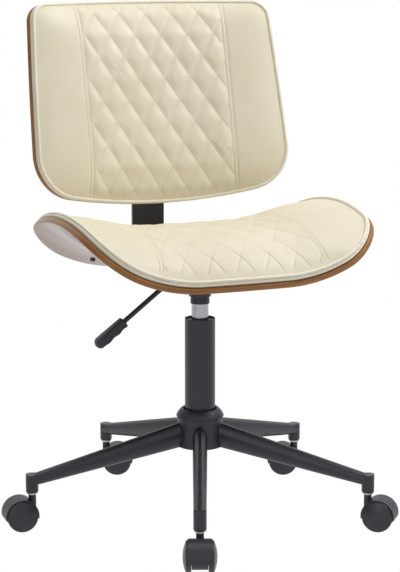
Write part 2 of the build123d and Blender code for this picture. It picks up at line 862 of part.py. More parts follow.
# Room for a tee nut and its bolt in a shell, drawn in the same place as the nut
with BuildPart() as tee_nut_room:
    with BuildSketch(Plane.XY.offset(-tee_nut_sink - tee_nut_flange_thickness)):
        Circle(tee_nut_flange_diameter / 2)
    extrude(amount=tee_nut_flange_thickness + tee_nut_barrel_length)
    with BuildSketch(Plane.XY.offset(-tee_nut_sink - tee_nut_flange_thickness)):
        Circle(tee_nut_barrel_diameter / 2)
    extrude(amount=-3 * tee_nut_barrel_length)


def seat_nut_place(plane, x, y):
    """Place on the seat shell's upper face, reached square from a point on a plane below it."""
    foot = plane.from_local_coords(Vector(x, y, 0))
    rise = (seat_surface(foot.X, foot.Y) - foot.Z) * plane.z_dir.Z
    return Location(plane.offset(rise)) * Location((x, y, 0))


# Bracket under the seat shell's rear: chord from its front end to the shell's rear edge
chord_length = seat_rear - bracket_front_y
chord_slope = (seat_underside(seat_rear) - seat_underside(bracket_front_y)) / chord_length
chord_height = seat_underside(bracket_front_y) - chord_slope * bracket_front_y - contact_gap
chord_plane = Plane(origin=(0, 0, chord_height), x_dir=(1, 0, 0), z_dir=(0, -chord_slope, 1))
bracket_half = bracket_thickness / 2
riser_y = bracket_rear_y - bracket_half
chord_drop = bracket_half * sqrt(1 + chord_slope**2)


def chord_line(y):
    """Middle of the bracket's lower run at a distance behind the axis, as (y, z)."""
    return (y, chord_height + chord_slope * y - chord_drop)


# Back shell in its reclined plane: X across, Y up the back, Z towards the sitter
recline = radians(back_recline)
back_plane = Plane(
    origin=(0, back_centre_y, back_centre_z),
    x_dir=(1, 0, 0),
    z_dir=(0, -cos(recline), sin(recline)),
)
back_low = -back_half_height - back_bottom_crown
back_high = back_half_height + back_top_crown
back_section = Plane(
    origin=back_plane.from_local_coords(Vector(0, back_low - surface_margin, 0)),
    x_dir=(1, 0, 0),
    z_dir=back_plane.y_dir,
)
back_length = back_high - back_low + 2 * surface_margin
back_reach = max(back_top_half_width, back_bottom_half_width) + back_side_bulge + surface_margin


def back_surface(x, y):
    """How far the back shell's front face stands in front of its middle line."""
    return arc_rise(x, back_radius)


def back_pad_surface(x, y):
    """How far the crowned front of the back cushion stands in front of the shell's middle line."""
    half_width = (back_top_half_width + back_bottom_half_width) / 2 + back_side_bulge
    fill = swell(x, half_width) * swell(y - (back_low + back_high) / 2, (back_high - back_low) / 2)
    return back_surface(x, y) + back_pad_edge + (back_pad_crown - back_pad_edge) * fill


def back_seam_floor(x, y):
    """How far the bottom of the sewn seams stands in front of the shell's middle line."""
    return back_pad_surface(x, y) - seam_depth


def back_outline(plane, inset):
    """The back shell's outline, drawn in by an inset."""
    half_widths = (back_bottom_half_width, back_top_half_width)
    ends = (-back_half_height, back_half_height)
    bulges = (back_bottom_crown, back_top_crown)
    return rounded_outline(plane, half_widths, ends, bulges, back_side_bulge, back_corner_radius, inset)


def bracket_back_point(y):
    """Middle of the bracket where it lies against the back shell, as (y, z)."""
    depth = back_shell_thickness + contact_gap + bracket_half
    point = back_plane.from_local_coords(Vector(0, y, -depth))
    return (point.Y, point.Z)


with BuildPart() as back_bracket:
    with BuildSketch(Plane.YZ):
        with BuildLine():
            FilletPolyline(
                chord_line(bracket_front_y),
                chord_line(riser_y),
                (riser_y, bracket_riser_top),
                bracket_back_point(bracket_low_v),
                bracket_back_point(bracket_high_v),
                radius=bracket_bend_radius,
            )
        trace(line_width=bracket_thickness)
    extrude(amount=bracket_width / 2, both=True)
    with BuildSketch(chord_plane):
        for row in bracket_seat_bolt_rows:
            with Locations((0, row)):
                with GridLocations(bracket_bolt_spacing, 0, 2, 1):
                    Circle(bolt_diameter / 2)
    extrude(amount=-2 * bracket_thickness, mode=Mode.SUBTRACT)
    with BuildSketch(back_plane.offset(-back_shell_thickness)):
        for row in bracket_back_bolt_rows:
            with Locations((0, row)):
                with GridLocations(bracket_bolt_spacing, 0, 2, 1):
                    Circle(bolt_diameter / 2)
    extrude(amount=-2 * bracket_thickness, mode=Mode.SUBTRACT)

bolt_sides = (-bracket_bolt_spacing / 2, bracket_bolt_spacing / 2)
plate_bolt_points = [
    (side * plate_bolt_x, plate_middle + end * plate_bolt_y) for side in (-1, 1) for end in (-1, 1)
]
chord_bolt_points = [(x, row) for x in bolt_sides for row in bracket_seat_bolt_rows]
back_bolt_points = [(x, row) for x in bolt_sides for row in bracket_back_bolt_rows]

seat_nut_places = [seat_nut_place(plate_plane, x, y) for x, y in plate_bolt_points]
seat_nut_places += [seat_nut_place(chord_plane, x, y) for x, y in chord_bolt_points]
back_nut_places = [
    Location(back_plane.offset(back_surface(x, y))) * Location((x, y, 0)) for x, y in back_bolt_points
]


def seat_screw_place(x, y):
    """Place on the seat shell's lower face, with the screw square to the shell."""
    across = max(abs(x) - seat_flat_half_width, 0)
    slope_x = copysign(across / sqrt(wing_radius**2 - across**2), x)
    slope_y = -(y - seat_crest_y) / sqrt(seat_arch_radius**2 - (y - seat_crest_y) ** 2)
    normal = Vector(-slope_x, -slope_y, 1).normalized()
    surface = Vector(x, y, seat_surface(x, y))
    return Location(Plane(origin=surface - normal * (seat_shell_thickness + contact_gap), z_dir=normal))


def back_screw_place(x, y):
    """Place on the back shell's rear face, with the screw square to the shell."""
    lean = asin(x / back_radius)
    depth = back_shell_thickness + contact_gap
    origin = Vector(x + depth * sin(lean), y, back_surface(x, y) - depth * cos(lean))
    normal = Vector(-sin(lean), 0, cos(lean))
    local = Plane(origin=origin, x_dir=(0, 1, 0), z_dir=normal)
    return Location(back_plane) * Location(local)


seat_screw_places = [
    seat_screw_place(side * seat_screw_x, y) for side in (-1, 1) for y in (seat_screw_front, seat_screw_rear)
]
back_screw_places = [
    back_screw_place(side * back_screw_x, end * back_screw_y) for side in (-1, 1) for end in (-1, 1)
]

with BuildPart() as shank_room:
    with BuildSketch(Plane.XY.offset(-moving_gap)):
        Circle(screw_diameter / 2)
    extrude(amount=screw_bite + moving_gap)

# Seat shell: the saddle surface trimmed to the plan outline and given its thickness
with BuildPart() as seat_shell:
    extrude(seat_outline(0), amount=-2 * seat_half_width)
    split(bisect_by=seat_upper_face, keep=Keep.BOTTOM)
    split(bisect_by=seat_lower_face, keep=Keep.TOP)
    with Locations(*seat_nut_places):
        add(tee_nut_room.part, mode=Mode.SUBTRACT)
    with Locations(*seat_screw_places):
        add(shank_room.part, mode=Mode.SUBTRACT)

with BuildPart() as seat_seams:
    extrude(
        seam_lines(seat_top_plane, seat_panel_half_width, seat_front, seat_rear),
        amount=-2 * seat_half_width,
    )
    split(
        bisect_by=grid_face(seat_seam_floor, seat_x_range, seat_y_range, seat_grid, seat_grid),
        keep=Keep.TOP,
    )

with BuildPart() as seat_cushion:
    extrude(seat_outline(seat_pad_inset), amount=-2 * seat_half_width)
    split(bisect_by=seat_upper_face, keep=Keep.TOP)
    split(
        bisect_by=grid_face(seat_pad_surface, seat_x_range, seat_y_range, seat_grid, seat_grid),
        keep=Keep.BOTTOM,
    )
    with Locations(*seat_screw_places):
        add(shank_room.part, mode=Mode.SUBTRACT)
    add(seat_seams.part, mode=Mode.SUBTRACT)

# Back shell: an arc section run up the back and trimmed to the outline
half_angle = degrees(asin(back_reach / back_radius))
with BuildPart() as back_shell:
    with BuildSketch(back_section):
        with BuildLine():
            front_arc = CenterArc((0, -back_radius), back_radius, 90 - half_angle, 2 * half_angle)
            rear_arc = CenterArc((0, -back_radius), back_radius + back_shell_thickness, 90 - half_angle,
                                 2 * half_angle)
            Line(front_arc @ 0, rear_arc @ 0)
            Line(front_arc @ 1, rear_arc @ 1)
        make_face()
    extrude(amount=back_length)
    extrude(back_outline(back_plane, 0), amount=back_reach, both=True, mode=Mode.INTERSECT)
    with Locations(*back_nut_places):
        add(tee_nut_room.part, mode=Mode.SUBTRACT)
    with Locations(*back_screw_places):
        add(shank_room.part, mode=Mode.SUBTRACT)

back_x_range = (-back_reach, back_reach)
back_y_range = (back_low - surface_margin, back_high + surface_margin)


def back_grid_face(height):
    """Smooth face over the back plane, facing the sitter."""
    return back_plane.location * grid_face(height, back_x_range, back_y_range, back_grid, back_grid)


with BuildPart() as back_seams:
    extrude(
        seam_lines(back_plane.offset(back_reach), back_panel_half_width, back_low, back_high),
        amount=-2 * back_reach,
    )
    split(bisect_by=back_grid_face(back_seam_floor), keep=Keep.TOP)

with BuildPart() as back_cushion:
    extrude(back_outline(back_plane, back_pad_inset), amount=back_reach)
    with BuildSketch(back_section):
        with Locations((0, -back_radius)):
            Circle(back_radius)
    extrude(amount=back_length, mode=Mode.INTERSECT)
    split(bisect_by=back_grid_face(back_pad_surface), keep=Keep.BOTTOM)
    with Locations(*back_screw_places):
        add(shank_room.part, mode=Mode.SUBTRACT)
    add(back_seams.part, mode=Mode.SUBTRACT)

# Fastener groups: the bolts, tee nuts and screws are each alike all over the chair
plate_bolt_plane = plate_plane.offset(-plate_thickness)
chord_bolt_plane = chord_plane.offset(-bracket_thickness)
back_bolt_plane = back_plane.offset(-back_shell_thickness - contact_gap - bracket_thickness)
bolt_places = [Location(plate_bolt_plane) * Location((x, y, 0)) for x, y in plate_bolt_points]
bolt_places += [Location(chord_bolt_plane) * Location((x, y, 0)) for x, y in chord_bolt_points]
bolt_places += [Location(back_bolt_plane) * Location((x, y, 0)) for x, y in back_bolt_points]
with BuildPart() as shell_bolts:
    with Locations(*bolt_places):
        add(bolt.part)
with BuildPart() as tee_nuts:
    with Locations(*seat_nut_places, *back_nut_places):
        add(tee_nut.part)
with BuildPart() as pad_screws:
    with Locations(*seat_screw_places, *back_screw_places):
        add(screw.part)

pieces = {
    "base_hub": base_hub.part,
    "hub_cover": hub_cover.part,
    "column": column.part,
    "column_bush": column_bush.part,
    "thrust_race_lower": build_race(foot_plate_top),
    "thrust_race_upper": build_race(upper_race_bottom),
    "thrust_balls": ball_ring.part,
    "retaining_clip": retaining_clip.part,
    "bumper": bumper.part,
    "piston_rod": piston_rod.part,
    "piston_head": piston_head.part,
    "piston_seal": piston_seal.part,
    "gas_cylinder": gas_cylinder.part,
    "rod_gland": rod_gland.part,
    "valve_pin": valve_pin.part,
    "seat_plate": seat_plate.part,
    "socket_tube": socket_tube.part,
    "lever_rod": lever_rod.part,
    "lever_handle": lever_handle.part,
    "lever_bracket": lever_bracket.part,
    "lever_pin": lever_pin.part,
    "seat_shell": seat_shell.part,
    "seat_cushion": seat_cushion.part,
    "back_shell": back_shell.part,
    "back_cushion": back_cushion.part,
    "back_bracket": back_bracket.part,
    "shell_bolts": shell_bolts.part,
    "tee_nuts": tee_nuts.part,
    "pad_screws": pad_screws.part,
    "caster_sleeves": caster_sleeves.part,
}
left_wheel = build_wheel(1)
right_wheel = build_wheel(-1)
for index, angle in enumerate(leg_angles):
    number = index + 1
    place = stem_places[index] * Rot(0, 0, angle + caster_turns[index])
    pieces[f"leg_{number}"] = Rot(0, 0, angle) * leg.part
    pieces[f"caster_stem_{number}"] = place * caster_stem.part
    pieces[f"caster_hood_{number}"] = place * caster_hood.part
    pieces[f"caster_axle_{number}"] = place * caster_axle.part
    pieces[f"wheel_left_{number}"] = place * left_wheel
    pieces[f"wheel_right_{number}"] = place * right_wheel

for name, part in pieces.items():
    part.label = name
    export_step(part, f"parts/{name}.step")
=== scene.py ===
import json

import bpy
import numpy as np
from bpy.props import FloatProperty, IntProperty, PointerProperty
from bpy.types import Operator, Panel, PropertyGroup
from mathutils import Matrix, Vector


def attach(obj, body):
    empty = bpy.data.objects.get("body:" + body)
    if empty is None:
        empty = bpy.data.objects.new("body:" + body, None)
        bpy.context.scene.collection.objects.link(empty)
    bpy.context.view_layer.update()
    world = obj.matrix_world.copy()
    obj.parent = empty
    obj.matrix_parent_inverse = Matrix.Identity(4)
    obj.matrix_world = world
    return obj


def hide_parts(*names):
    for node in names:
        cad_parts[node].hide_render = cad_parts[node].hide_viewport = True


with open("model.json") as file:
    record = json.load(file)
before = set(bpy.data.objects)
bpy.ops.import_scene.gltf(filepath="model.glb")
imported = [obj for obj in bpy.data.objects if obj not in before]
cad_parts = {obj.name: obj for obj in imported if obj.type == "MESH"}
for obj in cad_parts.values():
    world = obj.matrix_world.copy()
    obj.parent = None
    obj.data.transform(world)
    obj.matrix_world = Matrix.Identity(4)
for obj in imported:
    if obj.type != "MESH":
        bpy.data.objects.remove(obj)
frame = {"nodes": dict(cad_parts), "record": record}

bl_info = {
    "name": "Bentwood swivel chair",
    "version": (1, 0, 0),
    "blender": (4, 5, 0),
    "location": "View3D > Sidebar > Chair",
    "description": "Dresses the packed swivel chair with quilted pads, veneered shells and a plain studio",
    "category": "Object",
}

# Settings

def length(name, description, default):
    """A length property in metres."""
    return FloatProperty(name=name, description=description, default=default, unit="LENGTH", precision=4)


def slope(name, description, degrees):
    """An angle property, given in degrees."""
    return FloatProperty(name=name, description=description, default=np.radians(degrees), subtype="ANGLE")


def fraction(name, description, default):
    """A property that is a plain number."""
    return FloatProperty(name=name, description=description, default=default)


class SeatSettings(PropertyGroup):
    half_width: length("Half width", "Half the seat shell's width", 0.2465)
    front: length("Front", "Front end of the seat shell along Y", -0.194)
    rear: length("Rear", "Rear end of the seat shell along Y", 0.178)
    side_bulge: length("Side bulge", "How far each side bows out", 0.009)
    end_bulge: length("End bulge", "How far each end bows out", 0.008)
    corner: length("Corner radius", "Radius of the shell's corners in plan", 0.074)
    crest_y: length("Crest", "Place of the arch's highest line along Y", -0.030)
    crest_height: length("Crest height", "Height of the shell's upper face at the crest", 0.4425)
    arch_radius: length("Arch radius", "Radius of the arch from front to rear", 0.545)
    flat_half_width: length("Flat half width", "Half width of the middle before the sides turn up", 0.070)
    wing_radius: length("Wing radius", "Radius of the turned-up sides", 0.262)
    thickness: length("Thickness", "Thickness of the plywood", 0.010)
    pad_inset: length("Pad inset", "Step from the shell's rim to the pad", 0.003)
    pad_edge: length("Pad edge", "Height of the pad at its piping", 0.0098)
    pad_crown: length("Pad crown", "Height of the pad at its middle", 0.0435)
    panel: length("Panel half width", "Half width of the quilted panel", 0.140)
    knot_x: length("Knot X", "Place across the seat where two quilting lines cross", 0.0)
    knot_y: length("Knot Y", "Place along the seat where two quilting lines cross", -0.010)
    puff_share: fraction("Puff share", "Share of the full swell between the sewing", 0.45)


class BackSettings(PropertyGroup):
    recline: slope("Recline", "Lean of the back from upright", 13.6)
    centre_y: length("Centre Y", "Place of the back's middle line along Y", 0.219)
    centre_z: length("Centre Z", "Height of the back's middle", 0.672)
    radius: length("Radius", "Radius of the shell across the back", 0.617)
    top_half_width: length("Top half width", "Half width at the top corners", 0.2155)
    bottom_half_width: length("Bottom half width", "Half width at the bottom corners", 0.230)
    half_height: length("Half height", "Half the height between the corners", 0.157)
    top_crown: length("Top crown", "How far the top edge bows up", 0.0105)
    bottom_crown: length("Bottom crown", "How far the bottom edge bows down", 0.023)
    side_bulge: length("Side bulge", "How far each side bows out", 0.002)
    top_corner: length("Top corner radius", "Radius of the top corners", 0.032)
    bottom_corner: length("Bottom corner radius", "Radius of the bottom corners", 0.072)
    thickness: length("Thickness", "Thickness of the plywood", 0.009)
    pad_inset: length("Pad inset", "Step from the shell's rim to the pad", 0.002)
    pad_edge: length("Pad edge", "Height of the pad at its piping", 0.0076)
    pad_crown: length("Pad crown", "Height of the pad at its middle", 0.027)
    panel: length("Panel half width", "Half width of the quilted panel", 0.132)
    knot_x: length("Knot X", "Place across the back where two quilting lines cross", -0.006)
    knot_y: length("Knot Y", "Place up the back where two quilting lines cross", 0.067)
    puff_share: fraction("Puff share", "Share of the full swell between the sewing", 1.0)


class QuiltSettings(PropertyGroup):
    diamond_width: length("Diamond width", "Width of one stitched diamond", 0.0488)
    diamond_height: length("Diamond height", "Height of one stitched diamond", 0.0745)
    puff: length("Puff", "How far a diamond swells above its stitching", 0.0022)
    crease: length("Crease", "Depth that the thread pulls the cover in", 0.0008)
    crease_width: length("Crease width", "Half width of the crease along the thread", 0.0015)
    hold_width: length("Hold width", "Distance over which the sewing holds the cover down", 0.0045)
    side_hold: fraction("Side hold", "How firmly the plain side panels are held", 0.3)
    pressure: fraction("Pressure", "Pressure of the filling in the cloth simulation", 4.0)
    frames: IntProperty(name="Frames", description="Last frame of the cloth simulation", default=20)
    even_swell: fraction("Even swell", "Share of the puff where the swell equals its mean nearby", 0.6)
    even_limit: fraction("Even limit", "Largest share of the puff in the quilted panel", 1.2)
    even_reach: IntProperty(name="Even reach", description="Cells each way in the mean nearby", default=8)
    side_swell: fraction("Side swell", "Share of the puff at which the side panels level off", 0.3)
    seam_gap: length("Seam gap", "Distance between the two lines of a panel seam", 0.0065)
    cover_inset: length("Cover inset", "Step from the pad's rim to the edge of its cover", 0.0015)
    piping: length("Piping radius", "Radius of the piping round each pad", 0.0025)
    stitch_length: length("Stitch length", "Length of one stitch", 0.0036)
    stitch_pitch: fraction("Stitch pitch", "Distance between stitches as a multiple of their length", 1.3)
    thread_radius: length("Thread radius", "Radius of the sewing thread", 0.00035)
    cells: IntProperty(name="Cells", description="Mesh cells across a pad", default=240)


class HardwareSettings(PropertyGroup):
    hub_radius: length("Hub radius", "Outer radius of the hub", 0.0382)
    hub_bore: length("Hub bore", "Radius of the hub's bore", 0.0255)
    hub_bottom: length("Hub bottom", "Height of the hub's lower face", 0.115)
    hub_top: length("Hub top", "Height of the hub's upper face, on which the collar sits", 0.165)
    collar_radius: length("Collar radius", "Radius of the collar's foot", 0.0394)
    collar_lip: length("Collar lip", "Radius at which the collar's dome ends", 0.0296)
    collar_bore: length("Collar bore", "Radius of the collar's opening round the column", 0.0276)
    collar_height: length("Collar height", "Height of the collar above the hub", 0.0140)
    collar_dome: fraction("Collar dome", "Share of a quarter ellipse in its side, the rest a cone", 0.4)
    hub_edge: length("Hub edge", "Rounding of the edges of hub and collar", 0.0010)
    lever_slope: slope("Lever slope", "Slope of the lever below level", 37.2)
    grip_notch: length("Grip notch", "Depth of the finger notches under the grip", 0.0016)
    grip_swell: length("Grip swell", "How far the grip stands out beyond its solid, above and below", 0.0012)


# Shapes in plan

def circle_through(first, second, third):
    """Centre and radius of the circle through three points: where two perpendicular bisectors cross."""
    rows = 2 * np.array([second - first, third - first])
    values = np.array([second @ second - first @ first, third @ third - first @ first])
    centre = np.linalg.solve(rows, values)
    return centre, np.linalg.norm(first - centre)


def inner_fillet(one, two, radius, corner):
    """Centre of a fillet inside two circles: where both, drawn in by its radius, cross nearest the corner."""
    (centre_a, radius_a), (centre_b, radius_b) = one, two
    reach_a, reach_b = radius_a - radius, radius_b - radius
    apart = np.linalg.norm(centre_b - centre_a)
    along = (apart**2 + reach_a**2 - reach_b**2) / (2 * apart)
    aside = np.sqrt(reach_a**2 - along**2)
    direction = (centre_b - centre_a) / apart
    normal = np.array([-direction[1], direction[0]])
    choices = [centre_a + along * direction + sign * aside * normal for sign in (-1, 1)]
    return min(choices, key=lambda point: np.linalg.norm(point - corner))


def arc_points(centre, start, end, count):
    """Points along the shorter arc about a centre, from start to end."""
    first = np.arctan2(*(start - centre)[::-1])
    last = np.arctan2(*(end - centre)[::-1])
    turn = (last - first + np.pi) % (2 * np.pi) - np.pi
    angles = first + turn * np.linspace(0, 1, count)
    return centre + np.linalg.norm(start - centre) * np.stack([np.cos(angles), np.sin(angles)], axis=1)


def rounded_outline(half_widths, ends, bulges, side_bulge, corners, inset):
    """Closed outline of four shallow arcs joined by fillets, from the low end's middle and anticlockwise."""
    low_half, high_half = (half - inset for half in half_widths)
    low, high = ends[0] + inset, ends[1] - inset
    middle = (low + high) / 2
    side = (low_half + high_half) / 2 + side_bulge
    low_corner, high_corner = np.array([low_half, low]), np.array([high_half, high])
    mirrored = np.array([-1, 1])
    low_arc = circle_through(low_corner * mirrored, np.array([0, low - bulges[0]]), low_corner)
    side_arc = circle_through(low_corner, np.array([side, middle]), high_corner)
    high_arc = circle_through(high_corner, np.array([0, high + bulges[1]]), high_corner * mirrored)
    low_radius, high_radius = (corner - inset for corner in corners)

    def touch(arc, fillet):
        away = fillet - arc[0]
        return arc[0] + away * arc[1] / np.linalg.norm(away)

    low_fillet = inner_fillet(low_arc, side_arc, low_radius, low_corner)
    high_fillet = inner_fillet(side_arc, high_arc, high_radius, high_corner)
    runs = [
        arc_points(low_arc[0], np.array([0, low - bulges[0]]), touch(low_arc, low_fillet), 300),
        arc_points(low_fillet, touch(low_arc, low_fillet), touch(side_arc, low_fillet), 300),
        arc_points(side_arc[0], touch(side_arc, low_fillet), touch(side_arc, high_fillet), 300),
        arc_points(high_fillet, touch(side_arc, high_fillet), touch(high_arc, high_fillet), 300),
        arc_points(high_arc[0], touch(high_arc, high_fillet), np.array([0, high + bulges[1]]), 300),
    ]
    right = np.concatenate([run[:-1] for run in runs])
    return np.concatenate([right, (right * mirrored)[:0:-1]])


def seat_outline(seat, inset):
    """Plan outline of the seat shell, drawn in by an inset."""
    half_width = seat.half_width - seat.side_bulge
    ends = (seat.front + seat.end_bulge, seat.rear - seat.end_bulge)
    bulges, corners = (seat.end_bulge,) * 2, (seat.corner,) * 2
    return rounded_outline((half_width,) * 2, ends, bulges, seat.side_bulge, corners, inset)


def back_outline(back, inset):
    """Outline of the back shell in its own plane, drawn in by an inset."""
    half_widths = (back.bottom_half_width, back.top_half_width)
    ends = (-back.half_height, back.half_height)
    bulges = (back.bottom_crown, back.top_crown)
    corners = (back.bottom_corner, back.top_corner)
    return rounded_outline(half_widths, ends, bulges, back.side_bulge, corners, inset)


class Rim:
    """An outline seen from its middle: how far it lies in any direction."""

    def __init__(self, points):
        self.centre = np.array([0, (points[:, 1].min() + points[:, 1].max()) / 2])
        offset = points - self.centre
        self.half_size = np.abs(offset).max(axis=0)
        self.angles = np.arctan2(offset[:, 1], offset[:, 0])
        self.reaches = np.linalg.norm(offset, axis=1)

    def reach(self, angle):
        """Distance from the middle to the outline at an angle."""
        return np.interp(angle, self.angles, self.reaches, period=2 * np.pi)

    def grid(self, columns, rows, shrink=0.0):
        """Plan points of a square grid bent to the outline, and each point's share of the way out. The
        larger of the two grid places is the share, and the outline's reach at the point's angle times it
        the distance."""
        across, along = np.meshgrid(np.linspace(-1, 1, columns), np.linspace(-1, 1, rows))
        share = np.maximum(np.abs(across), np.abs(along))
        angle = np.arctan2(along * self.half_size[1], across * self.half_size[0])
        distance = share * (self.reach(angle) - shrink)
        plan = self.centre + distance[..., None] * np.stack([np.cos(angle), np.sin(angle)], axis=-1)
        return plan, share

    def share(self, plan):
        """Share of the way from the middle to the outline at plan points."""
        offset = plan - self.centre
        angle = np.arctan2(offset[..., 1], offset[..., 0])
        return np.linalg.norm(offset, axis=-1) / self.reach(angle)


# Surfaces that the shells follow

def seat_surface(seat, plan):
    """Points and normals of the saddle: an arch along Y plus an arc up at each side of the flat middle."""
    x, y = plan[..., 0], plan[..., 1]
    across = np.clip(np.abs(x) - seat.flat_half_width, 0, None)
    wing = np.sqrt(seat.wing_radius**2 - across**2)
    arch = np.sqrt(seat.arch_radius**2 - (y - seat.crest_y) ** 2)
    height = seat.crest_height + seat.wing_radius - wing - seat.arch_radius + arch
    normals = np.stack([-np.sign(x) * across / wing, (y - seat.crest_y) / arch, np.ones_like(x)], axis=-1)
    points = np.stack([x, y, height], axis=-1)
    return points, normals / np.linalg.norm(normals, axis=-1, keepdims=True)


def back_surface(back, plan):
    """Points and normals of the back: an arc across it, run straight up the recline."""
    u, v = plan[..., 0], plan[..., 1]
    forward = np.array([0, -np.cos(back.recline), np.sin(back.recline)])
    upward = np.array([0, np.sin(back.recline), np.cos(back.recline)])
    origin = np.array([0, back.centre_y, back.centre_z])
    depth = np.sqrt(back.radius**2 - u**2)
    points = origin + v[..., None] * upward + (back.radius - depth)[..., None] * forward
    points[..., 0] += u
    normals = (depth / back.radius)[..., None] * forward
    normals[..., 0] -= u / back.radius
    return points, normals


# Meshes

def grid_faces(rows, columns, start=0):
    """Quads over a grid of vertices stored row by row."""
    index = start + np.arange(rows * columns).reshape(rows, columns)
    corners = [index[:-1, :-1], index[:-1, 1:], index[1:, 1:], index[1:, :-1]]
    return np.stack(corners, axis=-1).reshape(-1, 4)


def ring_faces(first, second):
    """Quads between two closed loops of vertex numbers."""
    return np.stack([first, second, np.roll(second, -1), np.roll(first, -1)], axis=-1)


def border(rows, columns):
    """Vertex numbers round a grid's edge, anticlockwise from its first corner."""
    index = np.arange(rows * columns).reshape(rows, columns)
    return np.concatenate([index[0, :-1], index[:-1, -1], index[-1, :0:-1], index[:0:-1, 0]])


def make_object(name, points, faces):
    """A smooth mesh object from an array of points and the vertex numbers of its faces."""
    mesh = bpy.data.meshes.new(name)
    mesh.from_pydata(points.reshape(-1, 3), [], faces)
    mesh.polygons.foreach_set("use_smooth", np.full(len(mesh.polygons), True))
    mesh.update()
    piece = bpy.data.objects.new(name, mesh)
    bpy.context.scene.collection.objects.link(piece)
    return piece


def add_attribute(piece, name, kind, values):
    """Stores a value per vertex under a name that a material can read."""
    layer = piece.data.attributes.new(name, kind, "POINT")
    field = "vector" if kind == "FLOAT_VECTOR" else "value"
    layer.data.foreach_set(field, np.ascontiguousarray(values).ravel())


def outward(plan_loop):
    """Unit vectors square to a closed anticlockwise plan loop, pointing out of it."""
    along = np.roll(plan_loop, -1, axis=0) - np.roll(plan_loop, 1, axis=0)
    away = np.stack([along[:, 1], -along[:, 0]], axis=-1)
    return away / np.linalg.norm(away, axis=1, keepdims=True)


def thread_lines(quilt, settings, plan):
    """Distances from each point to the nearest quilting line and to the nearest line of a panel seam. A
    quilting line runs where the places across and along, counted in diamonds, add up to or differ by a
    whole number; outside the panel its distance is taken as a metre."""
    across = (plan[..., 0] - settings.knot_x) / quilt.diamond_width
    along = (plan[..., 1] - settings.knot_y) / quilt.diamond_height
    spacing = 1 / np.hypot(1 / quilt.diamond_width, 1 / quilt.diamond_height)
    from_middle = np.abs(plan[..., 0])
    in_panel = from_middle < settings.panel
    lines = [np.abs(line - np.round(line)) * spacing for line in (across + along, across - along)]
    quilting = np.where(in_panel, np.minimum(*lines), 1.0)
    seams = [np.abs(from_middle - settings.panel - offset) for offset in (0, quilt.seam_gap)]
    return quilting, np.minimum(*seams)


def crown_height(settings, share):
    """Height of a pad above its shell: its edge plus a crown, which falls with the way out to the power
    six."""
    return settings.pad_edge + (settings.pad_crown - settings.pad_edge) * (1 - np.clip(share, 0, 1) ** 6)


def crease_depth(quilt, settings, plan):
    """How far the thread pulls the cover in: a bell curve across each line, half as deep again on seams."""
    quilting, seams = thread_lines(quilt, settings, plan)
    lines = np.exp(-((quilting / quilt.crease_width) ** 2))
    return quilt.crease * np.maximum(lines, 1.5 * np.exp(-((seams / quilt.crease_width) ** 2)))


def pad_vertices(quilt, surface, settings, rim, columns, rows, relief):
    """Vertices and quads of a pad: the cover, a boxing strip below the piping, and an underside that is left
    open in a small loop at its middle."""
    plan, share = rim.grid(columns, rows, shrink=quilt.cover_inset)
    points, normals = surface(settings, plan)
    height = crown_height(settings, share) + relief
    top = (points + normals * height[..., None]).reshape(-1, 3)
    loop = border(rows, columns)
    edge_plan = rim.grid(columns, rows)[0].reshape(-1, 2)[loop]
    away = outward(edge_plan)
    strip = settings.pad_edge - quilt.piping
    # Step out from the rim and height of each loop, down the slightly rounded strip and in under the pad
    rings = [(-0.0002, strip + 0.0012), (0.0003, strip), (0.0008, strip * 0.72), (0.0009, strip * 0.5),
             (0.0006, strip * 0.25), (-0.0004, 0.0007), (-0.0020, 0.0003)]
    loops = [edge_plan + offset * away for offset, _ in rings]
    underside = (0.9, 0.6, 0.3, 0.02)
    loops += [rim.centre + (edge_plan - rim.centre) * scale for scale in underside]
    rises = [rise for _, rise in rings] + [rings[-1][1]] * len(underside)
    vertices, faces, previous = [top], [grid_faces(rows, columns)], loop
    for number, (ring, rise) in enumerate(zip(loops, rises)):
        ring_points, ring_normals = surface(settings, ring)
        vertices.append(ring_points + ring_normals * rise)
        current = len(top) + number * len(loop) + np.arange(len(loop))
        faces.append(ring_faces(previous, current))
        previous = current
    return np.concatenate(vertices), np.concatenate(faces), plan, share, normals


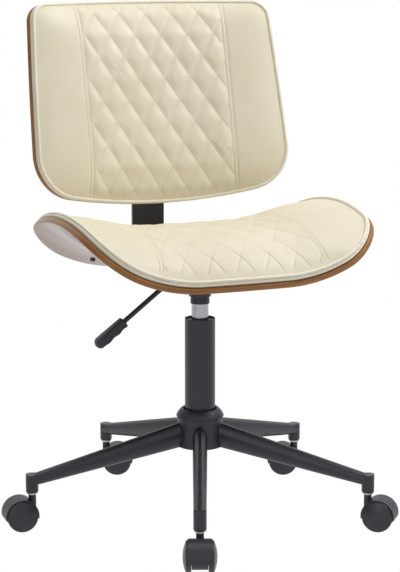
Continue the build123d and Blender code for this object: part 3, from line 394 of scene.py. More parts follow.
def filled_cover(quilt, surface, settings, rim, columns, rows):
    """Swell of the cover between its sewing, from a cloth simulation of the pad under its filling's
    pressure. The sewing, the strip and the underside are held, and the movement square to the pad is read
    off the cover. In the quilted panel it is divided by its mean nearby, so that all diamonds swell alike;
    in the side panels it levels off gently."""
    vertices, faces, plan, share, normals = pad_vertices(quilt, surface, settings, rim, columns, rows, 0.0)
    pad = make_object("filling", vertices, faces)
    quilting, seams = thread_lines(quilt, settings, plan)
    held = np.exp(-((np.minimum(quilting, seams) / quilt.hold_width) ** 2))
    edge_start, edge_width = 0.93, 0.05
    held = np.maximum(held, np.clip((share - edge_start) / edge_width, 0, 1))
    held = np.maximum(held, np.where(np.abs(plan[..., 0]) > settings.panel, quilt.side_hold, 0)).ravel()
    group = pad.vertex_groups.new(name="sewn")
    group.add(list(range(held.size, len(vertices))), 1.0, "REPLACE")
    steps = 10
    for level in range(1, steps + 1):
        chosen = np.flatnonzero(np.round(held * steps) == level)
        group.add(chosen.tolist(), level / steps, "REPLACE")
    cloth = pad.modifiers.new("filling", "CLOTH")
    cloth.settings.vertex_group_mass = "sewn"
    cloth.settings.use_pressure = True
    cloth.settings.uniform_pressure_force = quilt.pressure
    cloth.settings.effector_weights.gravity = 0
    cloth.settings.quality = 4
    scene = bpy.context.scene
    for number in range(1, quilt.frames + 1):
        scene.frame_set(number)
    moved = np.empty(len(vertices) * 3)
    filled = pad.evaluated_get(bpy.context.evaluated_depsgraph_get())
    filled.data.vertices.foreach_get("co", moved)
    scene.frame_set(1)
    step = (moved.reshape(-1, 3) - vertices)[:held.size].reshape(rows, columns, 3)
    swell = np.clip((step * normals).sum(axis=-1), 0, None)
    bpy.data.meshes.remove(pad.data)
    quilted = np.abs(plan[..., 0]) < settings.panel
    nearby = local_mean(swell, quilt.even_reach) + 1e-6
    even = np.clip(quilt.even_swell * swell / nearby, 0, quilt.even_limit)
    plain = quilt.side_swell * (1 - np.exp(-swell / np.median(swell[~quilted])))
    return quilt.puff * local_mean(np.where(quilted, even, plain), 1)


def local_mean(values, reach):
    """Mean of a grid of values over a square of cells about each one."""
    for axis in (0, 1):
        padded = np.pad(values, [(reach, reach) if side == axis else (0, 0) for side in (0, 1)], mode="edge")
        windows = np.lib.stride_tricks.sliding_window_view(padded, 2 * reach + 1, axis=axis)
        values = windows.mean(axis=-1)
    return values


def refine(values):
    """Doubles a grid of values, with midpoints halfway between their neighbours."""
    rows, columns = values.shape
    fine = np.empty((2 * rows - 1, 2 * columns - 1))
    fine[::2, ::2] = values
    fine[1::2, ::2] = (values[:-1] + values[1:]) / 2
    fine[:, 1::2] = (fine[:, :-1:2] + fine[:, 2::2]) / 2
    return fine


def build_pad(name, quilt, surface, settings, outline):
    """A pad. Its cover is filled by simulation on a coarse grid, and creased by its sewing on one twice as
    fine."""
    rim = Rim(outline(settings, settings.pad_inset))
    columns = quilt.cells // 2 + 1
    rows = int(quilt.cells / 2 * rim.half_size[1] / rim.half_size[0]) + 1
    swell = refine(filled_cover(quilt, surface, settings, rim, columns, rows))
    rows, columns = swell.shape
    plan, share = rim.grid(columns, rows, shrink=quilt.cover_inset)
    calm_width = 0.06
    calm = np.clip((1 - share) / calm_width, 0, 1)
    relief = settings.puff_share * calm * (swell - crease_depth(quilt, settings, plan))
    vertices, faces, *_ = pad_vertices(quilt, surface, settings, rim, columns, rows, relief)
    return make_object(name, vertices, faces)


def build_stitches(name, quilt, surface, settings, outline):
    """Rows of short threads along the quilting lines and the seams. Each is five rings of six points about a
    line that rises from the cover, runs along its crease and dips in again; the ends are left open."""
    rim = Rim(outline(settings, settings.pad_inset))
    reach, lines, panel_margin, end_share = 0.35, 9, 0.001, 0.965
    places = np.arange(-reach, reach, quilt.stitch_length * quilt.stitch_pitch)
    starts, runs = [], []
    for lean in (-1, 1):
        run = np.array([quilt.diamond_width, lean * quilt.diamond_height])
        run /= np.linalg.norm(run)
        for number in range(-lines, lines + 1):
            origin = np.array([settings.knot_x + number * quilt.diamond_width, settings.knot_y])
            starts.append(origin + places[:, None] * run)
            runs.append(np.tile(run, (len(places), 1)))
    for side in (-1, 1):
        for offset in (0, quilt.seam_gap):
            across = np.full_like(places, side * (settings.panel + offset))
            starts.append(np.stack([across, rim.centre[1] + places], axis=1))
            runs.append(np.tile([0.0, 1.0], (len(places), 1)))
    starts, runs = np.concatenate(starts), np.concatenate(runs)
    ends = starts + quilt.stitch_length * runs
    seam_count = 4 * len(places)
    limit = np.full(len(starts), settings.panel - panel_margin)
    limit[-seam_count:] = np.inf
    kept = np.maximum(np.abs(starts[:, 0]), np.abs(ends[:, 0])) < limit
    kept &= np.maximum(rim.share(starts), rim.share(ends)) < end_share
    starts, runs = starts[kept], runs[kept]
    sides = np.linspace(0, 2 * np.pi, 6, endpoint=False)
    # Share of the way along a stitch, and how far it lies in the cover there, in radii of the thread
    rings = ((0, 0.9), (0.2, -0.2), (0.5, -0.5), (0.8, -0.2), (1, 0.9))
    sections = []
    for share, sink in rings:
        plan = starts + share * quilt.stitch_length * runs
        points, normals = surface(settings, plan)
        crease = settings.puff_share * crease_depth(quilt, settings, plan)
        rise = crown_height(settings, rim.share(plan)) - crease - sink * quilt.thread_radius
        small_step = 0.0005
        ahead = surface(settings, plan + small_step * runs)[0] - points
        points = points + normals * rise[:, None]
        aside = np.cross(normals, ahead)
        aside /= np.linalg.norm(aside, axis=1, keepdims=True)
        for angle in sides:
            sections.append(points + quilt.thread_radius * (np.cos(angle) * aside + np.sin(angle) * normals))
    vertices = np.stack(sections, axis=1)
    loops = np.arange(len(sections)).reshape(len(rings), len(sides))
    faces = np.concatenate([ring_faces(first, second) for first, second in zip(loops, loops[1:])])
    faces = faces[None] + len(sections) * np.arange(len(starts))[:, None, None]
    return make_object(name, vertices, faces.reshape(-1, 4))


def build_piping(name, quilt, surface, settings, outline):
    """Two round cords, one above the other, that follow the pad's rim over its boxing strip: the rim, stepped
    out by the cosine and raised by the sine of even angles, times the cord's radius."""
    rim = Rim(outline(settings, settings.pad_inset))
    angles = np.linspace(-np.pi, np.pi, 640, endpoint=False)
    plan = rim.centre + rim.reach(angles)[:, None] * np.stack([np.cos(angles), np.sin(angles)], axis=1)
    away = outward(plan)
    turn = np.linspace(0, 2 * np.pi, 12, endpoint=False)
    count, cord = len(angles), len(angles) * len(turn)
    drop, lower_step, sink = 1.96 * quilt.piping, 0.0005, 0.0004
    vertices, faces = [], []
    for level in range(2):
        height = settings.pad_edge - level * drop
        for angle in turn:
            ring = plan + (quilt.piping * np.cos(angle) + level * lower_step - sink) * away
            points, normals = surface(settings, ring)
            vertices.append(points + normals * (height + quilt.piping * np.sin(angle)))
        loops = [level * cord + index * count + np.arange(count) for index in range(len(turn))]
        faces += [ring_faces(first, second) for first, second in zip(loops, loops[1:] + loops[:1])]
    return make_object(name, np.concatenate(vertices), np.concatenate(faces))


def build_shell(name, surface, settings, outline, bends):
    """Bent plywood: an upper and a lower face a thickness apart, joined by an edge with eased corners."""
    rim = Rim(outline(settings, 0))
    columns, rows, ease = 121, 91, 0.0012
    plan = rim.grid(columns, rows, shrink=ease)[0].reshape(-1, 2)
    edge_plan = rim.grid(columns, rows)[0].reshape(-1, 2)
    loop = border(rows, columns)
    away = outward(edge_plan[loop])
    points, normals = surface(settings, plan)
    thickness = settings.thickness
    vertices, plans, depths = [points], [plan], [np.zeros(len(plan))]
    faces, start, previous = [grid_faces(rows, columns)], len(points), loop
    eased = ease * 0.3
    rings = [(-eased, eased), (0, ease)] + [(0, thickness * share) for share in (0.3, 0.5, 0.7)]
    rings += [(0, thickness - ease), (-eased, thickness - eased)]
    for offset, depth in rings:
        ring = edge_plan[loop] + offset * away
        ring_points, ring_normals = surface(settings, ring)
        vertices.append(ring_points - ring_normals * depth)
        plans.append(ring)
        depths.append(np.full(len(loop), depth))
        current = start + np.arange(len(loop))
        faces.append(ring_faces(previous, current))
        previous, start = current, start + len(loop)
    vertices.append(points - normals * thickness)
    plans.append(plan)
    depths.append(np.full(len(plan), thickness))
    faces.append(ring_faces(previous, start + loop))
    faces.append(grid_faces(rows, columns, start)[:, ::-1])
    piece = make_object(name, np.concatenate(vertices), np.concatenate(faces))
    flat = np.concatenate(plans)
    depth = np.concatenate(depths)
    unrolled = np.column_stack([bends(settings, flat[:, 0]), flat[:, 1], depth])
    add_attribute(piece, "veneer", "FLOAT_VECTOR", unrolled)
    on_edge = np.zeros(len(flat))
    on_edge[len(plan):len(flat) - len(plan)] = 1
    add_attribute(piece, "ply_edge", "FLOAT", on_edge)
    return piece


def seat_bend(seat, x):
    """Distance along the bent seat from its middle line."""
    across = np.clip(np.abs(x) - seat.flat_half_width, 0, None)
    return np.sign(x) * (np.abs(x) - across + seat.wing_radius * np.arcsin(across / seat.wing_radius))


def back_bend(back, x):
    """Distance along the bent back from its middle line."""
    return back.radius * np.arcsin(x / back.radius)


def rounded_profile(corners, radius):
    """Closed profile with rounded corners. Each corner becomes a parabola from one side to the other: the
    corner plus the radius times (1 - t) squared towards the last corner and t squared towards the next. A
    point half a radius further out on each side keeps the shading of the flat parts even."""
    corners = np.array(corners)
    step = np.linspace(0, 1, 6)
    back_share = np.concatenate([[1.5], (1 - step) ** 2, [0]])
    ahead_share = back_share[::-1]
    back = np.roll(corners, 1, axis=0) - corners
    ahead = np.roll(back, -1, axis=0) * -1
    back, ahead = (side / np.linalg.norm(side, axis=1, keepdims=True) for side in (back, ahead))
    rounding = back_share[:, None] * back[:, None] + ahead_share[:, None] * ahead[:, None]
    return (corners[:, None] + radius * rounding).reshape(-1, 2)


def turned(name, profile, turns=128):
    """Body turned round the Z axis. Each (radius, height) of a closed profile, listed anticlockwise with the
    radius to the right, becomes a ring, the radius times the cosine and sine of even angles, and each ring is
    joined to the next."""
    radius, height = np.array(profile).T[..., None]
    angle = np.linspace(0, 2 * np.pi, turns, endpoint=False)
    points = np.stack(np.broadcast_arrays(radius * np.cos(angle), radius * np.sin(angle), height), axis=-1)
    rings = np.arange(radius.size * turns).reshape(-1, turns)
    faces = [ring_faces(after, ring) for ring, after in zip(rings, np.roll(rings, -1, axis=0))]
    return make_object(name, points, np.concatenate(faces))


def build_grip(name, solid, hardware):
    """Lever grip: rings of a rounded section along the lever, sized by its solid's box in the lever's own
    axes. The half width grows evenly from two thirds at the neck, both half sizes end as quarter ellipses,
    and the section is a superellipse: the cosine to the power 0.4 across and the sine to the power 0.4 up.
    Three cosine waves cut the notches."""
    along = np.array([-np.cos(hardware.lever_slope), 0, -np.sin(hardware.lever_slope)])
    upward = np.array([-np.sin(hardware.lever_slope), 0, np.cos(hardware.lever_slope)])
    points = np.empty(3 * len(solid.data.vertices))
    solid.data.vertices.foreach_get("co", points)
    points = points.reshape(-1, 3)
    reach, height = points @ along, points @ upward
    half_width, half_height = np.abs(points[:, 1]).max(), np.ptp(height) / 2 + hardware.grip_swell

    share = (1 - np.cos(np.pi * np.linspace(0.03, 0.97, 56)[:, None])) / 2
    angle = np.linspace(0, 2 * np.pi, 64, endpoint=False)
    across, up = (np.sign(wave) * np.abs(wave) ** 0.4 for wave in (np.cos(angle), np.sin(angle)))

    def ended(neck, end):
        """One along the grip, falling to nothing as a quarter ellipse over a share at the neck and the
        end."""
        past = np.maximum((neck - share) / neck, (share - 1 + end) / end).clip(0, 1)
        return np.sqrt(1 - past ** 2)

    neck_end, wide_end, high_end, notches = 0.05, 0.22, 0.16, 3
    width = half_width * (2 + share) / 3 * ended(neck_end, wide_end)
    notch = hardware.grip_notch * (1 - np.cos(2 * np.pi * notches * share)) / 2 * ended(neck_end, wide_end)
    lift = half_height * ended(neck_end, high_end) * up + notch * (-up).clip(0, 1)
    place = (reach.min() + np.ptp(reach) * share)[..., None] * along
    middle = (height.min() + height.max()) / 2 * upward
    points = place + middle + lift[..., None] * upward + (width * across)[..., None] * np.array([0, 1, 0])
    rings = np.arange(share.size * angle.size).reshape(share.size, angle.size)
    faces = np.concatenate([ring_faces(ring, after) for ring, after in zip(rings, rings[1:])]).tolist()
    return make_object(name, points, faces + [rings[0].tolist(), rings[-1][::-1].tolist()])


# Materials

def linear(code):
    """Linear colour of an sRGB hex code."""
    values = np.array([int(code[index:index + 2], 16) / 255 for index in (1, 3, 5)])
    values = np.where(values <= 0.04045, values / 12.92, ((values + 0.055) / 1.055) ** 2.4)
    return (*values, 1.0)


def add_node(tree, kind, inputs=None, stops=(), **settings):
    """Adds a node with its settings and its ramp's (place, hex code) stops, and sets or links its inputs.
    A node given as an input stands for its first output."""
    node = tree.nodes.new(kind)
    for name, value in settings.items():
        setattr(node, name, value)
    for number, (place, code) in enumerate(stops):
        elements = node.color_ramp.elements
        element = elements[number] if number < 2 else elements.new(place)
        element.position, element.color = place, linear(code)
    for name, value in (inputs or {}).items():
        value = value.outputs[0] if isinstance(value, bpy.types.Node) else value
        if isinstance(value, bpy.types.NodeSocket):
            tree.links.new(value, node.inputs[name])
        else:
            node.inputs[name].default_value = value
    return node


def start_material(name, **values):
    """A material with one Principled shader, whose plain values are set on its own sockets."""
    material = bpy.data.materials.new(name)
    material.use_nodes = True
    tree = material.node_tree
    shader = tree.nodes["Principled BSDF"]
    for socket, value in values.items():
        shader.inputs[socket.replace("_", " ")].default_value = value
    coordinates = add_node(tree, "ShaderNodeTexCoord").outputs["Object"]
    return material, tree, shader, coordinates


def mottled(name, tone, gloss, relief, stretch=(1, 1, 1), **values):
    """A finish whose tone, gloss and height wander over the surface. Each of the three is a noise, given by
    the size of its pattern in millimetres and its detail, and then by the ramp's stops, by the lowest and
    highest roughness, or by the depth in metres. Stretch below 1 draws the patterns out along that axis."""
    material, tree, shader, place = start_material(name, **values)
    drawn = add_node(tree, "ShaderNodeVectorMath", {0: place, 1: stretch}, operation="MULTIPLY")
    noises = [
        add_node(tree, "ShaderNodeTexNoise", {"Vector": drawn, "Scale": 1000 / size, "Detail": detail})
        for size, detail, *_ in (tone, gloss, relief)
    ]
    span = {"Value": noises[1], "To Min": gloss[2], "To Max": gloss[3]}
    raised = {"Height": noises[2], "Distance": relief[2], "Strength": 1.0}
    results = {
        "Base Color": add_node(tree, "ShaderNodeValToRGB", {"Fac": noises[0]}, stops=tone[2:]),
        "Roughness": add_node(tree, "ShaderNodeMapRange", span),
        "Normal": add_node(tree, "ShaderNodeBump", raised),
    }
    for socket, node in results.items():
        tree.links.new(node.outputs[0], shader.inputs[socket])
    return material


def leatherette():
    """Cream faux leather of the covers."""
    return faux_leather("cream_faux_leather", "#e1d8bd", "#e7dfc8")


def painted_highlight_piping():
    """Cream faux leather of the piping, in paler tones than the covers: a painted highlight along its cord.
    """
    # Paler tones than the cover leather: a painted highlight on the piping.
    return faux_leather("cream_piping_painted_highlight", "#ebe4ce", "#f0ead8")


def faux_leather(name, dark, light):
    """Coated fabric with an embossed grain: pebbles a millimetre across, faint tone changes, a soft sheen."""
    tone, gloss, grain = (71.43, 3, (0.3, dark), (0.7, light)), (3.333, 2, 0.42, 0.58), (0.3846, 2, 0.00003)
    material = mottled(name, tone, gloss, grain, Coat_Weight=0.08, Coat_Roughness=0.35)
    tree = material.node_tree
    place = tree.nodes["Texture Coordinate"].outputs["Object"]
    pebble = {"Vector": place, "Scale": 1000 / 1.111}
    pebbles = add_node(tree, "ShaderNodeTexVoronoi", pebble, feature="SMOOTH_F1")
    dents = add_node(tree, "ShaderNodeBump", {"Height": pebbles, "Distance": 0.00012, "Strength": 1.0})
    tree.links.new(dents.outputs["Normal"], tree.nodes["Bump"].inputs["Normal"])
    return material


def thread_material():
    """Cream polyester thread: a fibrous surface with little gloss."""
    material, tree, shader, place = start_material("cream_thread", Roughness=0.6)
    shade = add_node(tree, "ShaderNodeTexNoise", {"Vector": place, "Scale": 1000 / 1.111})
    fibres = add_node(tree, "ShaderNodeTexNoise", {"Vector": place, "Scale": 1000 / 0.25})
    tone = add_node(tree, "ShaderNodeValToRGB", {"Fac": shade}, stops=((0.3, "#dad0b4"), (0.7, "#e6ddc6")))
    raised = add_node(tree, "ShaderNodeBump", {"Height": fibres, "Distance": 0.00005, "Strength": 1.0})
    tree.links.new(tone.outputs[0], shader.inputs["Base Color"])
    tree.links.new(raised.outputs[0], shader.inputs["Normal"])
    return material


def walnut():
    """Lacquered walnut veneer with its grain across the chair, and stained plies along the edge. Sizes are in
    millimetres along the grain, across it and through the plies."""
    material, tree, shader, _ = start_material("walnut_veneer", Coat_Roughness=0.08)
    veneer = add_node(tree, "ShaderNodeAttribute", attribute_name="veneer").outputs["Vector"]
    edge = add_node(tree, "ShaderNodeAttribute", attribute_name="ply_edge").outputs["Fac"]
    noises = []
    for sizes, detail, roughness in (
        ((189.4, 16.03, 16.03), 5, 0.62),
        ((16.67, 0.6667, 0.6667), 2, 0.5),
        ((125, 125, 1.111), 2, 0.5),
    ):
        scaled = add_node(tree, "ShaderNodeVectorMath", {0: veneer, 1: [1000 / size for size in sizes]},
                          operation="MULTIPLY")
        pattern = {"Vector": scaled, "Scale": 1.0, "Detail": detail, "Roughness": roughness}
        noises.append(add_node(tree, "ShaderNodeTexNoise", pattern))
    figure, pores, layers = noises
    face = add_node(tree, "ShaderNodeValToRGB", {"Fac": figure}, stops=(
        (0.25, "#54331b"), (0.45, "#7d4f29"), (0.6, "#936233"), (0.8, "#65401f")))
    plies = add_node(tree, "ShaderNodeValToRGB", {"Fac": layers}, stops=(
        (0.3, "#74440f"), (0.5, "#935c17"), (0.7, "#ad7526")))
    mixed = add_node(tree, "ShaderNodeMix", {0: edge, 6: face, 7: plies}, data_type="RGBA")
    tree.links.new(mixed.outputs[2], shader.inputs["Base Color"])
    results = {
        "Roughness": add_node(tree, "ShaderNodeMapRange", {"Value": pores, "To Min": 0.26, "To Max": 0.42}),
        "Coat Weight": add_node(tree, "ShaderNodeMapRange", {"Value": edge, "To Min": 0.6, "To Max": 0.1}),
        "Normal": add_node(tree, "ShaderNodeBump", {"Height": pores, "Distance": 0.00004, "Strength": 1.0}),
    }
    for socket, node in results.items():
        tree.links.new(node.outputs[0], shader.inputs[socket])
    return material


def powder_coat():
    """Satin black powder coat on steel: orange peel about a millimetre across."""
    tone = (25, 3, (0.3, "#161b24"), (0.7, "#1e232d"))
    return mottled("black_powder_coat", tone, (2, 3, 0.3, 0.46), (1.111, 3, 0.00008), Specular_IOR_Level=0.5)


def moulded_plastic():
    """Black moulded polypropylene with a fine spark-eroded texture."""
    tone = (16.67, 3, (0.3, "#171c25"), (0.7, "#1f242e"))
    return mottled("black_moulded_plastic", tone, (1.429, 3, 0.38, 0.54), (0.4545, 2, 0.00006))


def nylon():
    """Black moulded nylon of the casters: smooth, with faint scuffs."""
    tone = (8.333, 4, (0.35, "#161b24"), (0.75, "#20252f"))
    return mottled("black_nylon", tone, (3.846, 4, 0.26, 0.44), (0.7143, 2, 0.00003))


def chrome():
    """Ground and chromed steel: fine lines round the axis, a fifth of a millimetre apart."""
    tone, lines = (0.2, 2, (0.3, "#94979c"), (0.7, "#aeb1b5")), (0.012, 0.012, 1)
    return mottled("chromed_steel", tone, (0.2, 2, 0.16, 0.26), (0.2, 2, 0.00001), lines, Metallic=1.0)


def zinc():
    """Zinc-plated steel with a slightly clouded tone."""
    tone = (6.25, 4, (0.3, "#aeb0b0"), (0.7, "#cfd1d0"))
    return mottled("zinc_plate", tone, (6.25, 4, 0.24, 0.40), (0.5556, 2, 0.00002), Metallic=1.0)


def aluminium():
    """Turned aluminium with tool lines a third of a millimetre apart."""
    tone, lines = (0.3333, 2, (0.3, "#b0b3b6"), (0.7, "#c6c9cb")), (0.01333, 0.01333, 1)
    gloss, relief = (0.3333, 2, 0.3, 0.45), (0.3333, 2, 0.00002)
    return mottled("turned_aluminium", tone, gloss, relief, lines, Metallic=1.0)


def acetal():
    """Natural acetal plastic, off-white with a waxy surface."""
    tone = (12.5, 3, (0.3, "#cfccc2"), (0.7, "#dcd9cf"))
    return mottled("natural_acetal", tone, (2.5, 2, 0.32, 0.45), (0.8333, 2, 0.00003), Subsurface_Weight=0.05)


def rubber():
    """Black moulded rubber with a dusty tone."""
    tone = (11.11, 4, (0.3, "#161616"), (0.7, "#222221"))
    return mottled("black_rubber", tone, (2, 2, 0.6, 0.78), (0.6667, 2, 0.00005))


def dress(piece, material):
    """Gives a piece one material."""
    piece.data.materials.clear()
    piece.data.materials.append(material)


def shared_material(name, make):
    """The named material, made the first time that it is asked for."""
    return bpy.data.materials.get(name) or make()


def finish_pad(pad, piping, stitches, node):
    """Dresses a pad with its piping and stitching, and sets it in the place of its solid."""
    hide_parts(node)
    for piece in (pad, piping, stitches):
        dress(piece, shared_material("cream_faux_leather", leatherette))
        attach(piece, "seat")
    # The piping gets the paler leather, whose lighter tone is a painted highlight.
    dress(piping, shared_material("cream_piping_painted_highlight", painted_highlight_piping))
    dress(stitches, shared_material("cream_thread", thread_material))


# Operators

class CHAIR_OT_seat_shell(Operator):
    """Builds the bent plywood seat shell"""
    bl_idname = "chair.seat_shell"
    bl_label = "Seat shell"

    def execute(self, context):
        seat = context.scene.chair_seat
        piece = build_shell("seat_shell_veneered", seat_surface, seat, seat_outline, seat_bend)
        dress(piece, shared_material("walnut_veneer", walnut))
        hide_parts("seat_shell")
        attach(piece, "seat")
        return {"FINISHED"}


class CHAIR_OT_back_shell(Operator):
    """Builds the bent plywood back shell"""
    bl_idname = "chair.back_shell"
    bl_label = "Back shell"

    def execute(self, context):
        back = context.scene.chair_back
        piece = build_shell("back_shell_veneered", back_surface, back, back_outline, back_bend)
        dress(piece, shared_material("walnut_veneer", walnut))
        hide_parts("back_shell")
        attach(piece, "seat")
        return {"FINISHED"}


class CHAIR_OT_seat_pad(Operator):
    """Builds the quilted seat pad and its piping"""
    bl_idname = "chair.seat_pad"
    bl_label = "Seat pad"

    def execute(self, context):
        seat, quilt = context.scene.chair_seat, context.scene.chair_quilt
        pad = build_pad("seat_pad", quilt, seat_surface, seat, seat_outline)
        piping = build_piping("seat_piping", quilt, seat_surface, seat, seat_outline)
        stitches = build_stitches("seat_stitches", quilt, seat_surface, seat, seat_outline)
        finish_pad(pad, piping, stitches, "seat_cushion")
        return {"FINISHED"}


class CHAIR_OT_back_pad(Operator):
    """Builds the quilted back pad and its piping"""
    bl_idname = "chair.back_pad"
    bl_label = "Back pad"

    def execute(self, context):
        back, quilt = context.scene.chair_back, context.scene.chair_quilt
        pad = build_pad("back_pad", quilt, back_surface, back, back_outline)
        piping = build_piping("back_piping", quilt, back_surface, back, back_outline)
        stitches = build_stitches("back_stitches", quilt, back_surface, back, back_outline)
        finish_pad(pad, piping, stitches, "back_cushion")
        return {"FINISHED"}


class CHAIR_OT_metalwork(Operator):
    """Finishes the base, column, gas spring, bracket, lever and casters"""
    bl_idname = "chair.metalwork"
    bl_label = "Metalwork and plastics"

    def execute(self, context):
        finishes = {
            "black_steel": powder_coat(), "black_plastic": moulded_plastic(), "black_nylon": nylon(),
            "pale_plastic": acetal(), "bright_steel": chrome(), "zinc_steel": zinc(),
            "machined_aluminium": aluminium(), "black_rubber": rubber(),
        }
        for part in frame["record"]["subparts"]:
            material = finishes.get(part["material_slot"])
            if material:
                dress(frame["nodes"][part["node"]], material)
        return {"FINISHED"}


class CHAIR_OT_hub(Operator):
    """Builds the hub of the base and the domed collar round the column"""
    bl_idname = "chair.hub"
    bl_label = "Hub and collar"

    def execute(self, context):
        hardware = context.scene.chair_hardware
        top, lip, edge = hardware.hub_top, hardware.collar_lip, hardware.hub_edge
        body = turned("hub_body", rounded_profile([
            (hardware.hub_bore, hardware.hub_bottom), (hardware.hub_radius, hardware.hub_bottom),
            (hardware.hub_radius, top), (hardware.hub_bore, top)], edge))
        rise = np.linspace(0, 1, 24)
        round_part, cone_part = hardware.collar_dome, 1 - hardware.collar_dome
        width = round_part * np.cos(rise * np.pi / 2) + cone_part * (1 - rise)
        height = round_part * np.sin(rise * np.pi / 2) + cone_part * rise
        dome = np.stack([lip + (hardware.collar_radius - lip) * width,
                         top + edge + (hardware.collar_height - edge) * height], axis=-1)
        mouth = [(hardware.collar_bore, top + hardware.collar_height - edge), (hardware.collar_bore, top)]
        collar = turned("hub_collar", [*mouth, (hardware.collar_radius - edge, top), *dome])
        dress(body, shared_material("black_powder_coat", powder_coat))
        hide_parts("base_hub")
        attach(body, "base")
        dress(collar, shared_material("black_moulded_plastic", moulded_plastic))
        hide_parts("hub_cover")
        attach(collar, "base")
        return {"FINISHED"}


class CHAIR_OT_lever_grip(Operator):
    """Builds the grip at the end of the lift lever"""
    bl_idname = "chair.lever_grip"
    bl_label = "Lever grip"

    def execute(self, context):
        piece = build_grip("lever_grip", frame["nodes"]["lever_handle"], context.scene.chair_hardware)
        dress(piece, shared_material("black_moulded_plastic", moulded_plastic))
        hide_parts("lever_handle")
        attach(piece, "lever")
        return {"FINISHED"}


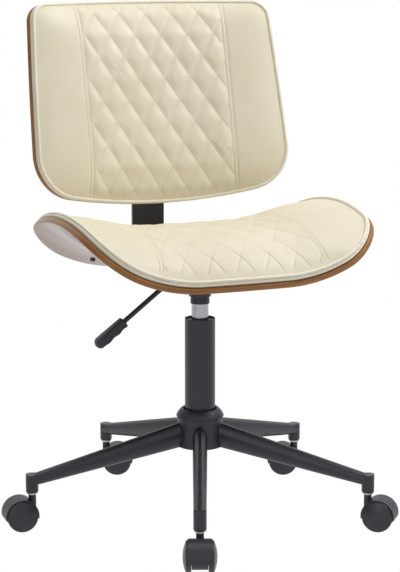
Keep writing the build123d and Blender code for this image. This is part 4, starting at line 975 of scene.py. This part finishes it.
class CHAIR_OT_stage(Operator):
    """Sets the pale floor, the soft lights and the camera"""
    bl_idname = "chair.stage"
    bl_label = "Stage"
    turn = np.radians(-22.5)

    def execute(self, context):
        scene = context.scene
        corners = 6.0 * np.array([[-1, -1, 0], [1, -1, 0], [1, 1, 0], [-1, 1, 0]])
        floor = make_object("floor", corners, [[0, 1, 2, 3]])
        dress(floor, self.floor_material())
        self.sky(scene)
        self.softbox("key", (1.8, -0.8, 2.6), (0.0, 0.0, 0.55), 1.1, 50)
        self.softbox("fill", (-2.4, -2.6, 1.3), (0.0, 0.0, 0.5), 1.6, 8)
        self.softbox("top", (0.0, 0.3, 3.0), (0.0, 0.0, 0.5), 1.8, 20)
        self.camera(scene)
        scene.view_settings.view_transform = "Standard"
        return {"FINISHED"}

    def floor_material(self):
        """White vinyl floor that the camera sees as bright as the backdrop."""
        material = bpy.data.materials.new("white_floor")
        material.use_nodes = True
        tree = material.node_tree
        output = tree.nodes["Material Output"]
        shader = tree.nodes["Principled BSDF"]
        shader.inputs["Base Color"].default_value = linear("#f2f2f2")
        shader.inputs["Roughness"].default_value = 0.9
        glow = add_node(tree, "ShaderNodeEmission", {"Color": (1, 1, 1, 1), "Strength": 1.0})
        path = add_node(tree, "ShaderNodeLightPath").outputs
        rays = {0: path["Is Camera Ray"], 1: path["Is Glossy Ray"]}
        seen = add_node(tree, "ShaderNodeMath", rays, operation="MAXIMUM")
        mixed = add_node(tree, "ShaderNodeMixShader", {0: seen, 1: shader, 2: glow})
        tree.links.new(mixed.outputs[0], output.inputs["Surface"])
        return material

    def sky(self, scene):
        """An even white room, with grey screens to the camera's left and right that only reflections show."""
        world = bpy.data.worlds.new("white_room")
        world.use_nodes = True
        tree = world.node_tree
        background = tree.nodes["Background"]
        background.inputs["Color"].default_value = (1, 1, 1, 1)
        path = add_node(tree, "ShaderNodeLightPath").outputs
        direction = add_node(tree, "ShaderNodeTexCoord").outputs["Generated"]
        room, screen = 0.32, 0.52
        across = (np.cos(self.turn), np.sin(self.turn), 0.0)
        aside = add_node(tree, "ShaderNodeVectorMath", {0: direction, 1: across}, operation="DOT_PRODUCT")
        size = add_node(tree, "ShaderNodeMath", {0: aside.outputs["Value"]}, operation="ABSOLUTE")
        screens = add_node(tree, "ShaderNodeMapRange", {
            "Value": size, "From Min": 0.5, "From Max": 0.95, "To Min": 1 - room, "To Max": screen - room})
        mirrored = add_node(tree, "ShaderNodeMath", {
            0: path["Is Glossy Ray"], 1: screens, 2: room}, operation="MULTIPLY_ADD")
        strength = add_node(tree, "ShaderNodeMath", {
            0: path["Is Camera Ray"], 1: 1 - room, 2: mirrored}, operation="MULTIPLY_ADD")
        tree.links.new(strength.outputs[0], background.inputs["Strength"])
        scene.world = world

    def softbox(self, name, place, target, size, power):
        """A square area light that faces a target."""
        light = bpy.data.lights.new(name, "AREA")
        light.size, light.energy = size, power
        lamp = bpy.data.objects.new(name, light)
        lamp.location = place
        lamp.rotation_euler = (Vector(target) - Vector(place)).to_track_quat("-Z", "Y").to_euler()
        bpy.context.scene.collection.objects.link(lamp)

    def camera(self, scene):
        """A long lens in front and to the sitter's right, a little above the seat."""
        lens = bpy.data.cameras.new("camera")
        lens.lens, lens.sensor_width = 117.1, 36
        distance, height, tilt = 2.990, 0.948, np.radians(79.3)
        camera = bpy.data.objects.new("camera", lens)
        camera.location = (distance * np.sin(self.turn), -distance * np.cos(self.turn), height)
        camera.rotation_euler = (tilt, 0, self.turn)
        scene.collection.objects.link(camera)
        scene.camera = camera


class CHAIR_PT_panel(Panel):
    bl_label = "Bentwood chair"
    bl_idname = "CHAIR_PT_panel"
    bl_space_type = "VIEW_3D"
    bl_region_type = "UI"
    bl_category = "Chair"

    def draw(self, context):
        for operator in OPERATORS:
            self.layout.operator(operator.bl_idname)


SETTINGS = {"chair_seat": SeatSettings, "chair_back": BackSettings, "chair_quilt": QuiltSettings,
            "chair_hardware": HardwareSettings}
OPERATORS = (
    CHAIR_OT_seat_shell,
    CHAIR_OT_back_shell,
    CHAIR_OT_seat_pad,
    CHAIR_OT_back_pad,
    CHAIR_OT_metalwork,
    CHAIR_OT_hub,
    CHAIR_OT_lever_grip,
    CHAIR_OT_stage,
)


def register():
    for kind in (*SETTINGS.values(), *OPERATORS, CHAIR_PT_panel):
        bpy.utils.register_class(kind)
    for name, kind in SETTINGS.items():
        setattr(bpy.types.Scene, name, PointerProperty(type=kind))


def unregister():
    for name in SETTINGS:
        delattr(bpy.types.Scene, name)
    for kind in reversed((*SETTINGS.values(), *OPERATORS, CHAIR_PT_panel)):
        bpy.utils.unregister_class(kind)


def main():
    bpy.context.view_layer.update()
    register()
    bpy.ops.chair.seat_shell()
    bpy.ops.chair.back_shell()
    bpy.ops.chair.seat_pad()
    bpy.ops.chair.back_pad()
    bpy.ops.chair.metalwork()
    bpy.ops.chair.hub()
    bpy.ops.chair.lever_grip()
    bpy.ops.chair.stage()


if __name__ == "__main__":
    main()
